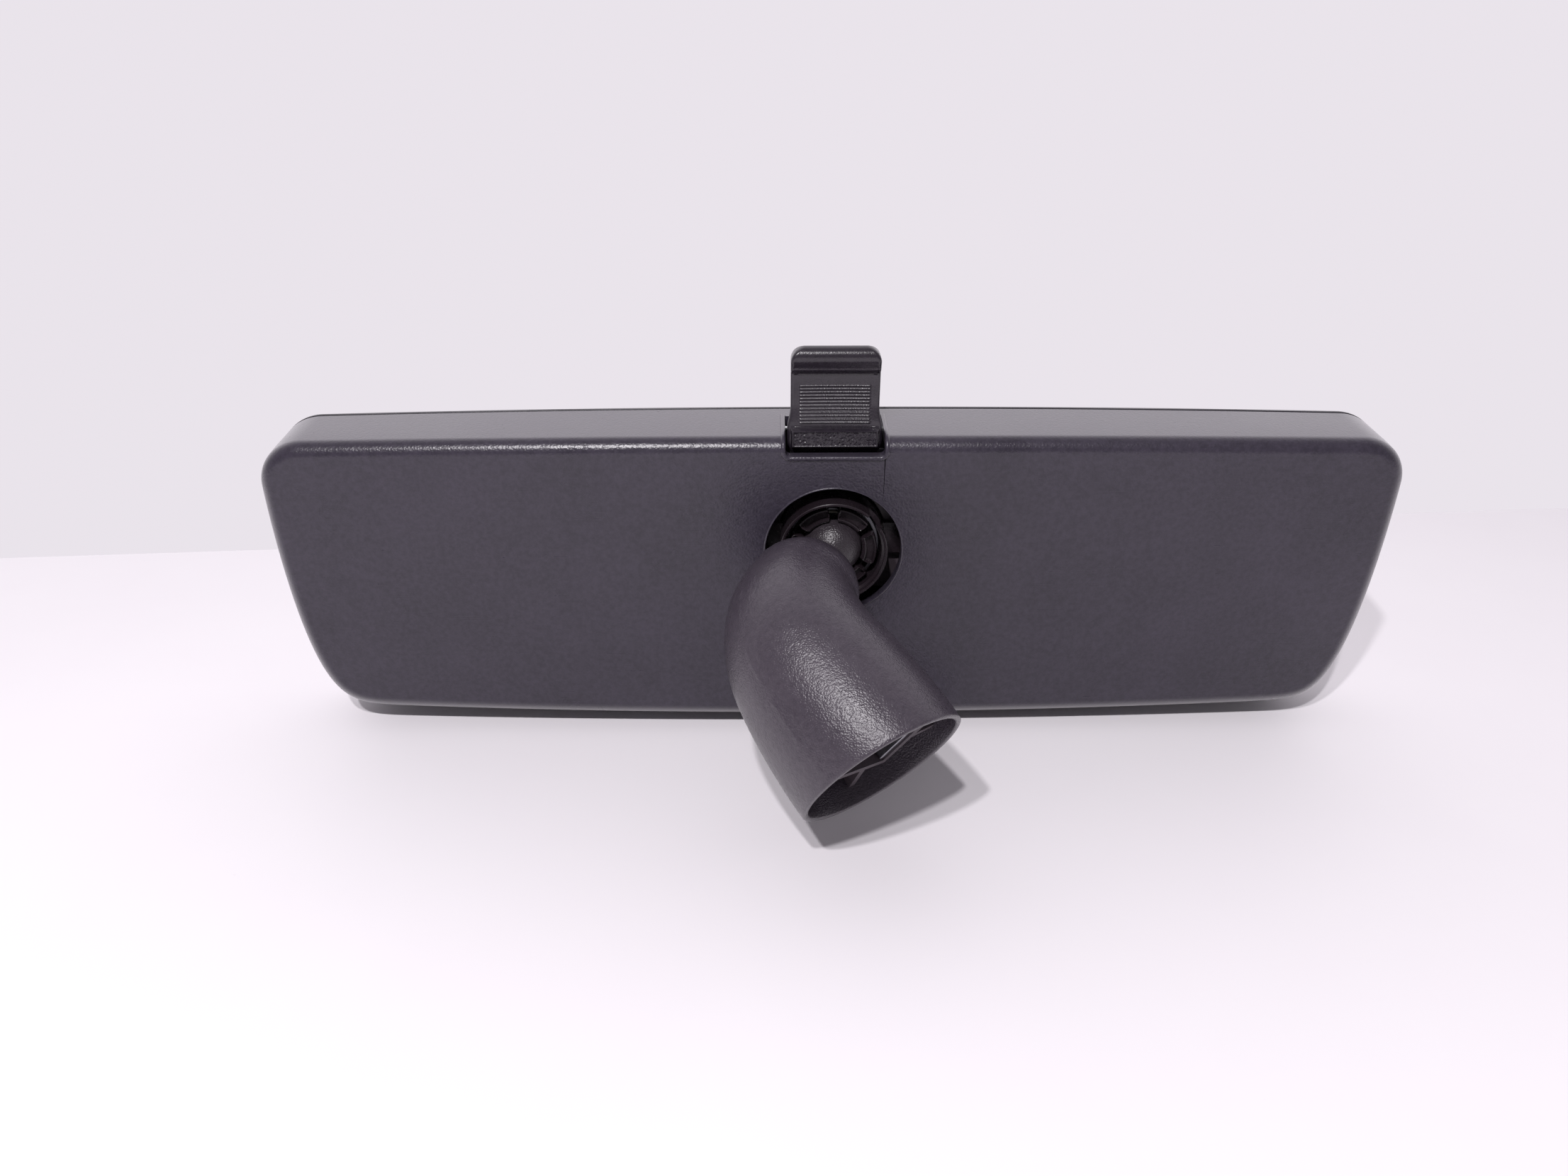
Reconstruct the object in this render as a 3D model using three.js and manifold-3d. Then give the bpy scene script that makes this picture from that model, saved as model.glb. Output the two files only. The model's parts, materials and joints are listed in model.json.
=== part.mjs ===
// Interior day/night rearview mirror on a ball joint and an elbowed windscreen arm.
// Millimetres. The head stands on its long edge with its glass towards +Y, its back towards -Y
// and its dimming lever up. The arm leaves the ball joint in the back, elbows down to one side and
// ends in an open foot that hangs just above the ground.
// The head's own frame has y = 0 at the ends of the back face and z = 0 under the bezel.

import * as THREE from 'three';
import { mergeVertices } from 'three/addons/utils/BufferGeometryUtils.js';
import Module from 'manifold-3d';

// ---- driving dimensions ----

const GAP = 0.3;

// Head outline, across the back face.
const HALF_WIDTH = 121.3;
const MID_HEIGHT = 36;
const TOP_HEIGHT = 71.5;
const TOP_ARCH = 1.15;
const BOTTOM_ARCH = 2.05;
const ARCH_SPAN = 102;
const TOP_CORNER = 10;
const BOTTOM_CORNER_START = 85;
const BOTTOM_CORNER_POWERS = [8.3, 1.78];

// The bottom wall rises towards the back over the last stretch of its depth.
const BACK_LIFT = 2.7;
const LIFT_DEPTH = 12;

const OUTLINE_STEPS = 16;

// Housing shell.
const CROWN = 2;
const WALL = 2;
const EDGE_RADIUS = 3.2;
const DRAFT = 0.5;
const HOUSING_FRONT = 16;
const POCKET_Z = 46;
const POCKET_RADIUS = 14.6;

// Glass and bezel.
const GLASS_FRONT = 16.2;
const GLASS_INSET = 2.6;
const GLASS_THICK_BOTTOM = 4.8;
const GLASS_THICK_TOP = 3;
const BACKING = 0.4;
const BEZEL_FRONT = 17.8;
const BEZEL_WINDOW_INSET = 4.2;

// Ball joint.
const BALL = new THREE.Vector3(0, 2, POCKET_Z);
const BALL_RADIUS = 6.5;
const LIP_RADIUS = 6.7;
const SEAT_RADII = [6.65, 7.25];
const WASHER_RADII = [7.4, 7.9];
const CUP_CAVITY_RADIUS = 8.05;
const CUP_RADIUS = 11.6;
const CUP_RIM_INNER = 10.5;
const CUP_FRONT = -3;
const CUP_REAR = 9.9;
const FINGERS = 6;
const FINGER_OUTER = 9;
const GROOVE_FLOOR = 3.5;

// Rocking mechanism.
const ROCK_PIVOT = new THREE.Vector3(0, 7.5, 28);
const PIVOT_PIN_RADIUS = 1.5;
const PLATE = [6.8, 8.8];
const EAR = [22.4, 28.4];
const LEVER_PIVOT = new THREE.Vector3(0, 5, 63);
const LEVER_SWING = THREE.MathUtils.degToRad(30);
const LEVER_PIN_RADIUS = 1.4;
const BARREL_RADIUS = 2.8;
const CRANK_RADIUS = 4.6;
const CRANK_PIN_RADIUS = 1.3;
const CHEEK = [9.2, 12];
const CHEEK_HALF = 2;
const FORK = [12.6, 16.6];
const POST = [17, 20];
const TAB_WIDTH = 18.4;
const TAB_TOP = 90;
const TAB_CORNER = 3.1;

// Arm: the stud leaves the ball along `stud`, then the arm bends towards `bend`.
const STUD_YAW = -0.359;
const STUD_DROP = 0.12;
const BEND_ROLL = 0.98;
const STUD_LENGTH = 20;
const BEND_ANGLE = 1.09;
const BEND_SHARE = 0.5;
const BODY_LENGTH = 43.7;
const MOUTH_TILT = -0.09;
const DOME_RADIUS = 11.7;
const WAIST_RADII = [18.7, 17.85];
const MOUTH_RADII = [16.7, 18.6];
const DOME_CUT = 6;
const ARM_WALL = 2;
const SHANK_RADIUS = 4.2;
const NECK_RADIUS = 3.6;

// ---- materials ----

const paint = (color, roughness, metalness = 0) =>
  new THREE.MeshStandardMaterial({ color, roughness, metalness });

const materials = {
  housing: paint(0x2a2a2c, 0.55),
  arm: paint(0x2c2c2e, 0.6),
  lever: paint(0x262628, 0.5),
  nylon: paint(0x3a3a3c, 0.45),
  acetal: paint(0xd8d4c8, 0.4),
  diecast: paint(0x6f7174, 0.4, 1),
  steel: paint(0x9a9c9f, 0.3, 1),
  glass: paint(0xe8f0f0, 0.02),
  silver: paint(0xd9dcdc, 0.05, 1),
  rubber: paint(0x1c1c1c, 0.9),
  foam: paint(0x303234, 0.95),
};

// ---- solids ----

const wasm = await Module();
wasm.setup();

// Six times the volume inside a closed mesh, negative if its faces point inward.
function signedVolume(positions, index) {
  const corner = (i) => new THREE.Vector3().fromArray(positions, index[i] * 3);
  let volume = 0;
  for (let i = 0; i < index.length; i += 3) {
    volume += corner(i).dot(corner(i + 1).cross(corner(i + 2)));
  }
  return volume;
}

function solid(geometry) {
  const bare = geometry.clone();
  bare.deleteAttribute('normal');
  bare.deleteAttribute('uv');
  const merged = mergeVertices(bare, 1e-4);
  const positions = merged.attributes.position.array;
  const index = Uint32Array.from(merged.index.array);
  return new wasm.Manifold(new wasm.Mesh({
    numProp: 3,
    vertProperties: new Float32Array(positions),
    triVerts: signedVolume(positions, index) > 0 ? index : index.reverse(),
  }));
}

function geometryOf(manifold) {
  const mesh = manifold.getMesh();
  const geometry = new THREE.BufferGeometry();
  geometry.setAttribute('position', new THREE.BufferAttribute(mesh.vertProperties, 3));
  geometry.setIndex(new THREE.BufferAttribute(mesh.triVerts, 1));
  return geometry;
}

const cut = (body, ...tools) => tools.reduce((left, tool) => left.subtract(solid(tool)), body);
const join = (body, ...tools) => tools.reduce((whole, tool) => whole.add(solid(tool)), body);

function box(x, y, z) {
  const geometry = new THREE.BoxGeometry(x[1] - x[0], y[1] - y[0], z[1] - z[0]);
  return geometry.translate((x[0] + x[1]) / 2, (y[0] + y[1]) / 2, (z[0] + z[1]) / 2);
}

const QUARTER = Math.PI / 2;

// A rod along X, between two x values, round the line through (y, z).
function rodX(radius, x, y, z, sides = 20) {
  const geometry = new THREE.CylinderGeometry(radius, radius, x[1] - x[0], sides);
  return geometry.rotateZ(QUARTER).translate((x[0] + x[1]) / 2, y, z);
}

// A rod along Y, between two y values, round the line through (x, z).
function rodY(radius, y, x, z, sides = 20) {
  const geometry = new THREE.CylinderGeometry(radius, radius, y[1] - y[0], sides);
  return geometry.translate(x, (y[0] + y[1]) / 2, z);
}

// A closed profile of [radius, height] points turned round the Y axis through (x, z).
function turned(profile, x, z, sides = 36) {
  const points = [...profile, profile[0]].map(([radius, height]) => new THREE.Vector2(radius, height));
  const geometry = new THREE.LatheGeometry(points, sides);
  return geometry.translate(x, 0, z);
}

// The points of an arc about the ball, in [radius, height] form: `from` and `to` are angles
// from the direction that the stud leaves in when it stands square to the back face.
function ballArc(radius, from, to, steps) {
  return Array.from({ length: steps + 1 }, (_, i) => {
    const angle = THREE.MathUtils.degToRad(from + ((to - from) * i) / steps);
    return [radius * Math.sin(angle), BALL.y - radius * Math.cos(angle)];
  });
}

// The points of a list of rings and the faces between neighbouring rings.
function ringSides(rings) {
  const positions = rings.flat().flatMap((point) => point.toArray());
  const index = [];
  const count = rings[0].length;
  for (let r = 0; r < rings.length - 1; r += 1) {
    for (let i = 0; i < count; i += 1) {
      const a = r * count + i;
      const b = r * count + ((i + 1) % count);
      index.push(a, b, a + count, b, b + count, a + count);
    }
  }
  return { positions, index, count };
}

// A closed body through a list of rings, with the first and last ring closed flat.
function loft(rings) {
  const { positions, index, count } = ringSides(rings);
  for (const [r, outward] of [[0, false], [rings.length - 1, true]]) {
    const centre = rings[r].reduce((sum, p) => sum.add(p), new THREE.Vector3()).divideScalar(count);
    const hub = positions.length / 3;
    positions.push(centre.x, centre.y, centre.z);
    for (let i = 0; i < count; i += 1) {
      const a = r * count + i;
      const b = r * count + ((i + 1) % count);
      index.push(...(outward ? [a, b, hub] : [b, a, hub]));
    }
  }
  return indexedGeometry(positions, index);
}

function indexedGeometry(positions, index) {
  const geometry = new THREE.BufferGeometry();
  geometry.setAttribute('position', new THREE.Float32BufferAttribute(positions, 3));
  geometry.setIndex(index);
  return geometry;
}

// ---- head outline ----

function topEdge(x) {
  const beyond = Math.max(0, Math.abs(x) - (HALF_WIDTH - TOP_CORNER));
  const drop = TOP_CORNER - Math.sqrt(Math.max(0, TOP_CORNER ** 2 - beyond ** 2));
  return TOP_HEIGHT - TOP_ARCH * (x / ARCH_SPAN) ** 2 - drop;
}

const WIDEST = topEdge(HALF_WIDTH);

function bottomEdge(x) {
  const share = Math.max(0, Math.abs(x) - BOTTOM_CORNER_START) / (HALF_WIDTH - BOTTOM_CORNER_START);
  const [across, down] = BOTTOM_CORNER_POWERS;
  const arch = DRAFT + BOTTOM_ARCH * (x / ARCH_SPAN) ** 2;
  return arch + (WIDEST - arch) * (1 - Math.max(0, 1 - share ** across) ** (1 / down));
}

const crown = (x) => -CROWN * (1 - (x / HALF_WIDTH) ** 2);

// Pairs of points, top and bottom, at the same x from left to right, with the outline moved in.
function outlinePairs(inset) {
  const pairs = [];
  for (let i = -OUTLINE_STEPS; i <= OUTLINE_STEPS; i += 1) {
    const x = HALF_WIDTH * Math.sin((QUARTER * i) / OUTLINE_STEPS);
    const scaleX = (HALF_WIDTH - inset) / HALF_WIDTH;
    const scaleZ = (MID_HEIGHT - inset) / MID_HEIGHT;
    const height = (z) => MID_HEIGHT + (z - MID_HEIGHT) * scaleZ;
    pairs.push({ x: x * scaleX, top: height(topEdge(x)), bottom: height(bottomEdge(x)) });
  }
  return pairs;
}

// How far the outline is lifted at a depth and height.
function lift(y, z) {
  return BACK_LIFT * Math.max(0, 1 - y / LIFT_DEPTH) * (1 - z / TOP_HEIGHT);
}

// A slab between stacked outlines. Each level is an inset and a depth, the depth being a
// function of x and z, so that faces may be crowned or slanted.
function slab(levels) {
  const rings = levels.map(({ inset, depth }) => {
    const pairs = outlinePairs(inset);
    const inner = pairs.slice(1, -1);
    const point = (x, z) => new THREE.Vector3(x, depth(x, z), z + lift(depth(x, z), z));
    return [
      point(pairs[0].x, WIDEST),
      ...inner.map((pair) => point(pair.x, pair.top)),
      point(pairs[pairs.length - 1].x, WIDEST),
      ...inner.reverse().map((pair) => point(pair.x, pair.bottom)),
    ];
  });
  const { positions, index, count } = ringSides(rings);
  const half = count / 2;
  for (const [r, outward] of [[0, false], [rings.length - 1, true]]) {
    const at = (i) => r * count + (i % count);
    for (let i = 0; i < half; i += 1) {
      const [a, b, c, d] = [at(i), at(i + 1), at(count - i - 1), at(count - i)];
      const faces = [];
      if (i > 0) faces.push([a, b, d]);
      if (i < half - 1) faces.push([b, c, d]);
      for (const face of faces) index.push(...(outward ? face : face.reverse()));
    }
  }
  return indexedGeometry(positions, index);
}

// Levels of the rounded edge between the back face and the walls.
function roundedBack(inset, radius, offset, steps) {
  return Array.from({ length: steps + 1 }, (_, i) => {
    const angle = (QUARTER * i) / steps;
    const rise = offset + radius * (1 - Math.sin(angle));
    return { inset: inset + radius * (1 - Math.cos(angle)), depth: (x) => crown(x) + rise };
  });
}

const plane = (y) => () => y;
const glassBack = (z) => GLASS_FRONT
  - THREE.MathUtils.lerp(GLASS_THICK_BOTTOM, GLASS_THICK_TOP, z / TOP_HEIGHT);

// ---- head ----

const SLOT = { x: [-10.3, 10.3], y: [-4, 11.5], z: [68, 76] };
const INNER_EDGE_RADIUS = 1.6;
const BOSS = { x: [29, 38], z: [23.5, 32.5] };
const CAP_REAR = 10;
const LEVER_POST = { y: 8, z: [59.2, 70] };
const SCREW_RADIUS = 1;
const SCREW_BORE = SCREW_RADIUS + GAP;
const SPRING_SCREW = { x: 24, boss: 3, seat: 8.3 };
const POSTS = [[-75, 20], [75, 20], [-75, 54], [75, 54]];
const PAD_SIZE = [14, 10];
const PAD_THICKNESS = 1.6;
const padFront = (z) => glassBack(z - PAD_SIZE[1] / 2) - GAP - BACKING - GAP;

// A span between two distances from the middle, on the side given by 1 or -1.
const onSide = (side, span) => span.map((x) => x * side).sort((a, b) => a - b);
const around = (middle, reach) => [middle - reach, middle + reach];

function rearHousing() {
  const wallAt = (y, inset) => ({ inset: inset - (DRAFT * y) / HOUSING_FRONT, depth: plane(y) });
  const outside = slab([
    wallAt(HOUSING_FRONT, 0),
    wallAt(LIFT_DEPTH, 0),
    ...roundedBack(0, EDGE_RADIUS, 0, 4),
  ]);
  const inside = slab([
    wallAt(HOUSING_FRONT + 1, WALL),
    wallAt(LIFT_DEPTH, WALL),
    ...roundedBack(WALL, INNER_EDGE_RADIUS, WALL, 1),
  ]);
  const shell = cut(solid(outside), inside);
  const floor = (x) => crown(x) + 1;
  const additions = [];
  for (const [x, z] of POSTS) {
    const [w, h] = PAD_SIZE;
    const top = padFront(z) - PAD_THICKNESS - GAP;
    additions.push(box(around(x, w / 2), [floor(x), top], around(z, h / 2)));
  }
  for (const side of [-1, 1]) {
    additions.push(box(onSide(side, BOSS.x), [floor(BOSS.x[0]), ROCK_PIVOT.y], BOSS.z));
    additions.push(box(onSide(side, POST), [floor(POST[0]), LEVER_POST.y], LEVER_POST.z));
  }
  const { x: screwX, boss: bossRadius, seat } = SPRING_SCREW;
  additions.push(rodY(bossRadius, [floor(screwX), seat], screwX, LEVER_PIVOT.z));
  const full = join(shell, ...additions);
  return cut(
    full,
    rodY(POCKET_RADIUS, [-6, 4], 0, POCKET_Z, 48),
    box(SLOT.x, SLOT.y, SLOT.z),
    rodX(PIVOT_PIN_RADIUS + GAP, around(0, BOSS.x[1] + 2), ROCK_PIVOT.y, ROCK_PIVOT.z),
    rodX(LEVER_PIN_RADIUS + GAP, around(0, POST[1] - 0.6), LEVER_PIVOT.y, LEVER_PIVOT.z),
    rodY(SCREW_BORE, [3, seat + 1], screwX, LEVER_PIVOT.z),
  );
}

function frontBezel() {
  const face = slab([
    { inset: 0.3, depth: plane(BEZEL_FRONT) },
    { inset: -DRAFT, depth: plane(BEZEL_FRONT - 0.8) },
    { inset: -DRAFT, depth: plane(HOUSING_FRONT + GAP) },
  ]);
  const window = slab([
    { inset: BEZEL_WINDOW_INSET - 0.6, depth: plane(BEZEL_FRONT + 1) },
    { inset: BEZEL_WINDOW_INSET, depth: plane(HOUSING_FRONT - 1) },
  ]);
  const seat = slab([
    { inset: GLASS_INSET - GAP, depth: plane(GLASS_FRONT + GAP) },
    { inset: GLASS_INSET - GAP, depth: plane(HOUSING_FRONT - 1) },
  ]);
  return cut(solid(face), window, seat);
}

function mirrorGlass() {
  return solid(slab([
    { inset: GLASS_INSET, depth: plane(GLASS_FRONT) },
    { inset: GLASS_INSET, depth: (x, z) => glassBack(z) },
  ]));
}

function mirrorBacking() {
  return solid(slab([
    { inset: GLASS_INSET + 0.2, depth: (x, z) => glassBack(z) - GAP },
    { inset: GLASS_INSET + 0.2, depth: (x, z) => glassBack(z) - GAP - BACKING },
  ]));
}

function foamPad(x, z) {
  const [w, h] = PAD_SIZE;
  const front = padFront(z);
  return solid(box(around(x, w / 2), [front - PAD_THICKNESS, front], around(z, h / 2)));
}

function pivotPin(side) {
  const span = onSide(side, [EAR[0] + 0.2, BOSS.x[1] - GAP]);
  return solid(rodX(PIVOT_PIN_RADIUS, span, ROCK_PIVOT.y, ROCK_PIVOT.z));
}

function pinCap(side) {
  const cap = box(onSide(side, BOSS.x), [ROCK_PIVOT.y + GAP, CAP_REAR], BOSS.z);
  const bore = rodX(PIVOT_PIN_RADIUS + GAP, around(0, BOSS.x[1] + 2), ROCK_PIVOT.y, ROCK_PIVOT.z);
  return cut(solid(cap), bore);
}

function leverPin() {
  return solid(rodX(LEVER_PIN_RADIUS, around(0, POST[1] - 0.9), LEVER_PIVOT.y, LEVER_PIVOT.z));
}

// A leaf that lies on the screw boss and bears on the lever's barrel, with its tip turned up.
const LEAF_WIDTH = 5;
const LEAF_EDGE = [
  [27.5, 8.6], [10, 8.6], [6, 8.9], [-7, 8.9], [-8.5, 9.4],
  [-8.5, 10], [-7, 9.4], [6, 9.4], [10, 9.1], [27.5, 9.1],
];

function detentSpring() {
  const edge = new THREE.Shape(LEAF_EDGE.map(([x, y]) => new THREE.Vector2(x, y)));
  const leaf = new THREE.ExtrudeGeometry(edge, { depth: LEAF_WIDTH, bevelEnabled: false });
  leaf.translate(0, 0, LEVER_PIVOT.z - LEAF_WIDTH / 2);
  return cut(solid(leaf), rodY(SCREW_BORE, [8, 10], SPRING_SCREW.x, LEVER_PIVOT.z));
}

// A slotted screw along Y with its head at the higher y.
function screw(x, z, shank, headRadius, headHeight) {
  const [tip, seat] = shank;
  const top = seat + headHeight;
  const body = solid(rodY(SCREW_RADIUS, [tip, seat + 0.01], x, z, 16));
  const head = join(body, rodY(headRadius, [seat, top], x, z, 20));
  return cut(head, box(around(x, headRadius * 0.6), [top - 0.6, top + 1], around(z, 0.3)));
}

// ---- lever ----

function dimmingLever() {
  const { y, z } = LEVER_PIVOT;
  const side = new THREE.Shape();
  side.moveTo(2.6, z - 1.2);
  side.lineTo(7.2, z - 1.2);
  side.lineTo(6.8, z + 1.8);
  side.lineTo(4.8, 68.5);
  side.lineTo(4.5, 72);
  side.quadraticCurveTo(4.3, 80, 4.5, 86);
  side.quadraticCurveTo(4.2, TAB_TOP, 2.4, TAB_TOP);
  side.quadraticCurveTo(0.4, TAB_TOP, 0.5, 88);
  side.quadraticCurveTo(0.8, 86, 1.9, 84.5);
  side.quadraticCurveTo(2.6, 78, 1.9, 73.4);
  side.quadraticCurveTo(0.2, 73.2, 0.2, 71);
  side.quadraticCurveTo(0.2, 68.8, 1.8, 68.6);
  side.lineTo(2.4, 66.8);
  side.closePath();
  const bladeProfile = new THREE.ExtrudeGeometry(side, {
    depth: 22,
    bevelEnabled: false,
    curveSegments: 4,
  });
  // The profile's plane becomes YZ and its depth becomes X.
  bladeProfile.rotateX(QUARTER).rotateZ(QUARTER).translate(-11, 0, 0);

  const half = TAB_WIDTH / 2;
  const front = new THREE.Shape();
  front.moveTo(-9, 60);
  front.lineTo(9, 60);
  front.lineTo(9, 66.5);
  front.lineTo(half + 0.6, 70);
  front.quadraticCurveTo(half + 0.4, 73, half, 77);
  front.lineTo(half, TAB_TOP - TAB_CORNER);
  front.absarc(half - TAB_CORNER, TAB_TOP - TAB_CORNER, TAB_CORNER, 0, QUARTER, false);
  front.absarc(TAB_CORNER - half, TAB_TOP - TAB_CORNER, TAB_CORNER, QUARTER, Math.PI, false);
  front.lineTo(-half, 77);
  front.quadraticCurveTo(-half - 0.4, 73, -half - 0.6, 70);
  front.lineTo(-9, 66.5);
  front.closePath();
  const frontProfile = new THREE.ExtrudeGeometry(front, {
    depth: 20,
    bevelEnabled: false,
    curveSegments: 5,
  });
  frontProfile.rotateX(QUARTER).translate(0, 14, 0);

  const blade = solid(bladeProfile).intersect(solid(frontProfile));
  const start = LEVER_SWING / 2;
  const crank = [y + CRANK_RADIUS * Math.sin(start), z - CRANK_RADIUS * Math.cos(start)];
  const parts = [rodX(BARREL_RADIUS, around(0, CHEEK[1]), y, z, 24)];
  for (const end of [-1, 1]) {
    const cheek = onSide(end, CHEEK);
    const web = box(cheek, [-CHEEK_HALF, CHEEK_HALF], [-CRANK_RADIUS, 0]);
    web.rotateX(start).translate(0, y, z);
    const pin = onSide(end, [CHEEK[1] - 1, FORK[1] - GAP]);
    parts.push(web, rodX(CHEEK_HALF, cheek, crank[0], crank[1], 20));
    parts.push(rodX(CRANK_PIN_RADIUS, pin, crank[0], crank[1], 16));
  }
  const lever = join(blade, ...parts);
  return cut(lever, rodX(LEVER_PIN_RADIUS + GAP, around(0, POST[0]), y, z));
}

// ---- bracket and socket ----

const BRACKET_SCREW_X = 16.5;
const BUFFER = { x: 16.5, z: 52.3, radius: 2.2, tip: 2.3 };
const LUG = { radius: 3.6, y: [4.9, PLATE[0] - GAP] };
const NOTCH_ANGLE = THREE.MathUtils.degToRad(40);
const RING_OPENING_ANGLE = THREE.MathUtils.degToRad(200);

// Turns a body about the ball's fore-and-aft axis, from the +X side towards +Z.
function aboutBall(geometry, angle) {
  return geometry.rotateY(-angle).translate(BALL.x, 0, BALL.z);
}

function socketCup() {
  const profile = [
    [CUP_RADIUS, CUP_FRONT + 0.4],
    [CUP_RADIUS, CUP_REAR],
    [4, CUP_REAR],
    ...ballArc(CUP_CAVITY_RADIUS, 150, 92, 6),
    ...ballArc(LIP_RADIUS, 90, 70, 3),
    [7, -0.9],
    [8.4, -0.9],
    [FINGER_OUTER, -0.3],
    [FINGER_OUTER, GROOVE_FLOOR],
    [CUP_RIM_INNER, GROOVE_FLOOR],
    [CUP_RIM_INNER, CUP_FRONT + 0.3],
    [CUP_RIM_INNER + 0.3, CUP_FRONT],
    [CUP_RADIUS - 0.3, CUP_FRONT],
  ];
  const cup = solid(turned(profile, BALL.x, BALL.z));
  const lugs = [-1, 1].flatMap((side) => [
    rodY(LUG.radius, LUG.y, side * BRACKET_SCREW_X, BALL.z, 24),
    box(onSide(side, [CUP_RADIUS - 0.5, BRACKET_SCREW_X]), LUG.y, around(BALL.z, LUG.radius)),
  ]);
  const whole = join(cup, ...lugs);
  const slots = Array.from({ length: FINGERS }, (_, i) =>
    aboutBall(box([5, 9.6], [-3, GROOVE_FLOOR], [-0.7, 0.7]), (2 * Math.PI * (i + 0.5)) / FINGERS));
  const notch = aboutBall(box([9.8, 13], [-3, 1.6], [-1.9, 1.9]), NOTCH_ANGLE);
  const holes = [-1, 1].map((side) =>
    rodY(SCREW_BORE, [3, 8], side * BRACKET_SCREW_X, BALL.z, 16));
  return cut(whole, ...slots, notch, ...holes);
}

function clampRing() {
  const ring = turned([[9.25, 2.2], [10.05, 2.2], [10.05, 3.2], [9.25, 3.2]], BALL.x, BALL.z);
  return cut(solid(ring), aboutBall(box([8, 11], [1, 5], [-2, 2]), RING_OPENING_ANGLE));
}

function swivelBracket() {
  const plate = solid(box([-20, 20], PLATE, [33, 55.8]));
  const parts = [box([-EAR[1], EAR[1]], PLATE, [33, 38])];
  const centre = LEVER_PIVOT.y + CRANK_RADIUS * Math.sin(LEVER_SWING / 2);
  const reach = CRANK_PIN_RADIUS + GAP;
  for (const side of [-1, 1]) {
    parts.push(box(onSide(side, EAR), [4.5, PLATE[1]], [24, 34]));
    parts.push(box(onSide(side, FORK), around(centre, reach + 1.4), [55, 59.8]));
  }
  const whole = join(plate, ...parts);
  return cut(
    whole,
    rodY(CUP_RADIUS + GAP, [4, 10], BALL.x, BALL.z, 36),
    box(around(0, FORK[1] + 1), around(centre, reach), [56.8, 62]),
    rodX(PIVOT_PIN_RADIUS + GAP, around(0, EAR[1] + 1), ROCK_PIVOT.y, ROCK_PIVOT.z),
    ...[-1, 1].map((side) => rodY(SCREW_BORE, [4, 10], side * BRACKET_SCREW_X, BALL.z, 16)),
  );
}

function stopBuffer(side) {
  return solid(rodY(BUFFER.radius, [BUFFER.tip, PLATE[0] - GAP], side * BUFFER.x, BUFFER.z, 20));
}

// A spherical washer behind the ball, between two angles from the back face's direction.
function ballWasher([inner, outer], from, to) {
  const profile = [...ballArc(outer, from, to, 3), ...ballArc(inner, to, from, 3)];
  return solid(turned(profile, BALL.x, BALL.z));
}

// ---- arm ----

const stud = new THREE.Vector3(
  Math.sin(STUD_YAW) * Math.cos(STUD_DROP),
  -Math.cos(STUD_YAW) * Math.cos(STUD_DROP),
  -Math.sin(STUD_DROP),
);
const studDown = new THREE.Vector3(0, 0, -1).projectOnPlane(stud).normalize();
const studSide = new THREE.Vector3().crossVectors(stud, studDown);
const bend = studDown.clone()
  .multiplyScalar(Math.cos(BEND_ROLL))
  .addScaledVector(studSide, Math.sin(BEND_ROLL));
const across = new THREE.Vector3().crossVectors(stud, bend);
const elbow = BALL.clone().addScaledVector(stud, STUD_LENGTH);
const turnedBy = (angle) => stud.clone()
  .multiplyScalar(Math.cos(angle))
  .addScaledVector(bend, Math.sin(angle));
const ARM_SIDES = 28;
const ARM_STEPS = 9;

// Where the arm's centre line is, and how its section lies, at share u of the way to the mouth.
function armStation(u) {
  const angle = BEND_ANGLE * Math.min(1, u / BEND_SHARE);
  const radius = (BODY_LENGTH * BEND_SHARE) / BEND_ANGLE;
  const centre = elbow.clone()
    .addScaledVector(stud, radius * Math.sin(angle))
    .addScaledVector(bend, radius * (1 - Math.cos(angle)));
  if (u > BEND_SHARE) centre.addScaledVector(turnedBy(angle), (u - BEND_SHARE) * BODY_LENGTH);
  const blend = (start, middle, end) =>
    (1 - u) ** 2 * start + 2 * u * (1 - u) * middle + u * u * end;
  return {
    centre,
    major: turnedBy(angle + MOUTH_TILT * u * u + QUARTER),
    axis: turnedBy(angle + MOUTH_TILT * u * u),
    radii: [
      blend(DOME_RADIUS, WAIST_RADII[0], MOUTH_RADII[0]),
      blend(DOME_RADIUS, WAIST_RADII[1], MOUTH_RADII[1]),
    ],
  };
}

function ellipseRing(centre, major, minor, radii) {
  return Array.from({ length: ARM_SIDES }, (_, i) => {
    const angle = (2 * Math.PI * i) / ARM_SIDES;
    return centre.clone()
      .addScaledVector(major, radii[0] * Math.cos(angle))
      .addScaledVector(minor, radii[1] * Math.sin(angle));
  });
}

function armRing(u, inset, push = 0) {
  const { centre, major, axis, radii } = armStation(u);
  return ellipseRing(centre.addScaledVector(axis, push), major, across, radii.map((r) => r - inset));
}

// Rings of the dome behind the elbow, down to the flat end where the stud comes out.
function domeRings(radius, cutAt, steps) {
  const last = Math.asin(cutAt / radius);
  return Array.from({ length: steps }, (_, i) => {
    const angle = last * (1 - i / steps);
    const centre = elbow.clone().addScaledVector(stud, -radius * Math.sin(angle));
    const ringRadius = radius * Math.cos(angle);
    return ellipseRing(centre, bend, across, [ringRadius, ringRadius]);
  });
}

const stations = (from, to, steps) =>
  Array.from({ length: steps + 1 }, (_, i) => from + ((to - from) * i) / steps);

// A rod along the stud's direction, between two distances from the ball.
function rodStud(radius, from, to, sides = 24) {
  const geometry = new THREE.CylinderGeometry(radius, radius, to - from, sides);
  geometry.translate(0, (from + to) / 2, 0);
  const turn = new THREE.Quaternion().setFromUnitVectors(new THREE.Vector3(0, 1, 0), stud);
  return geometry.applyQuaternion(turn).translate(BALL.x, BALL.y, BALL.z);
}

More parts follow.
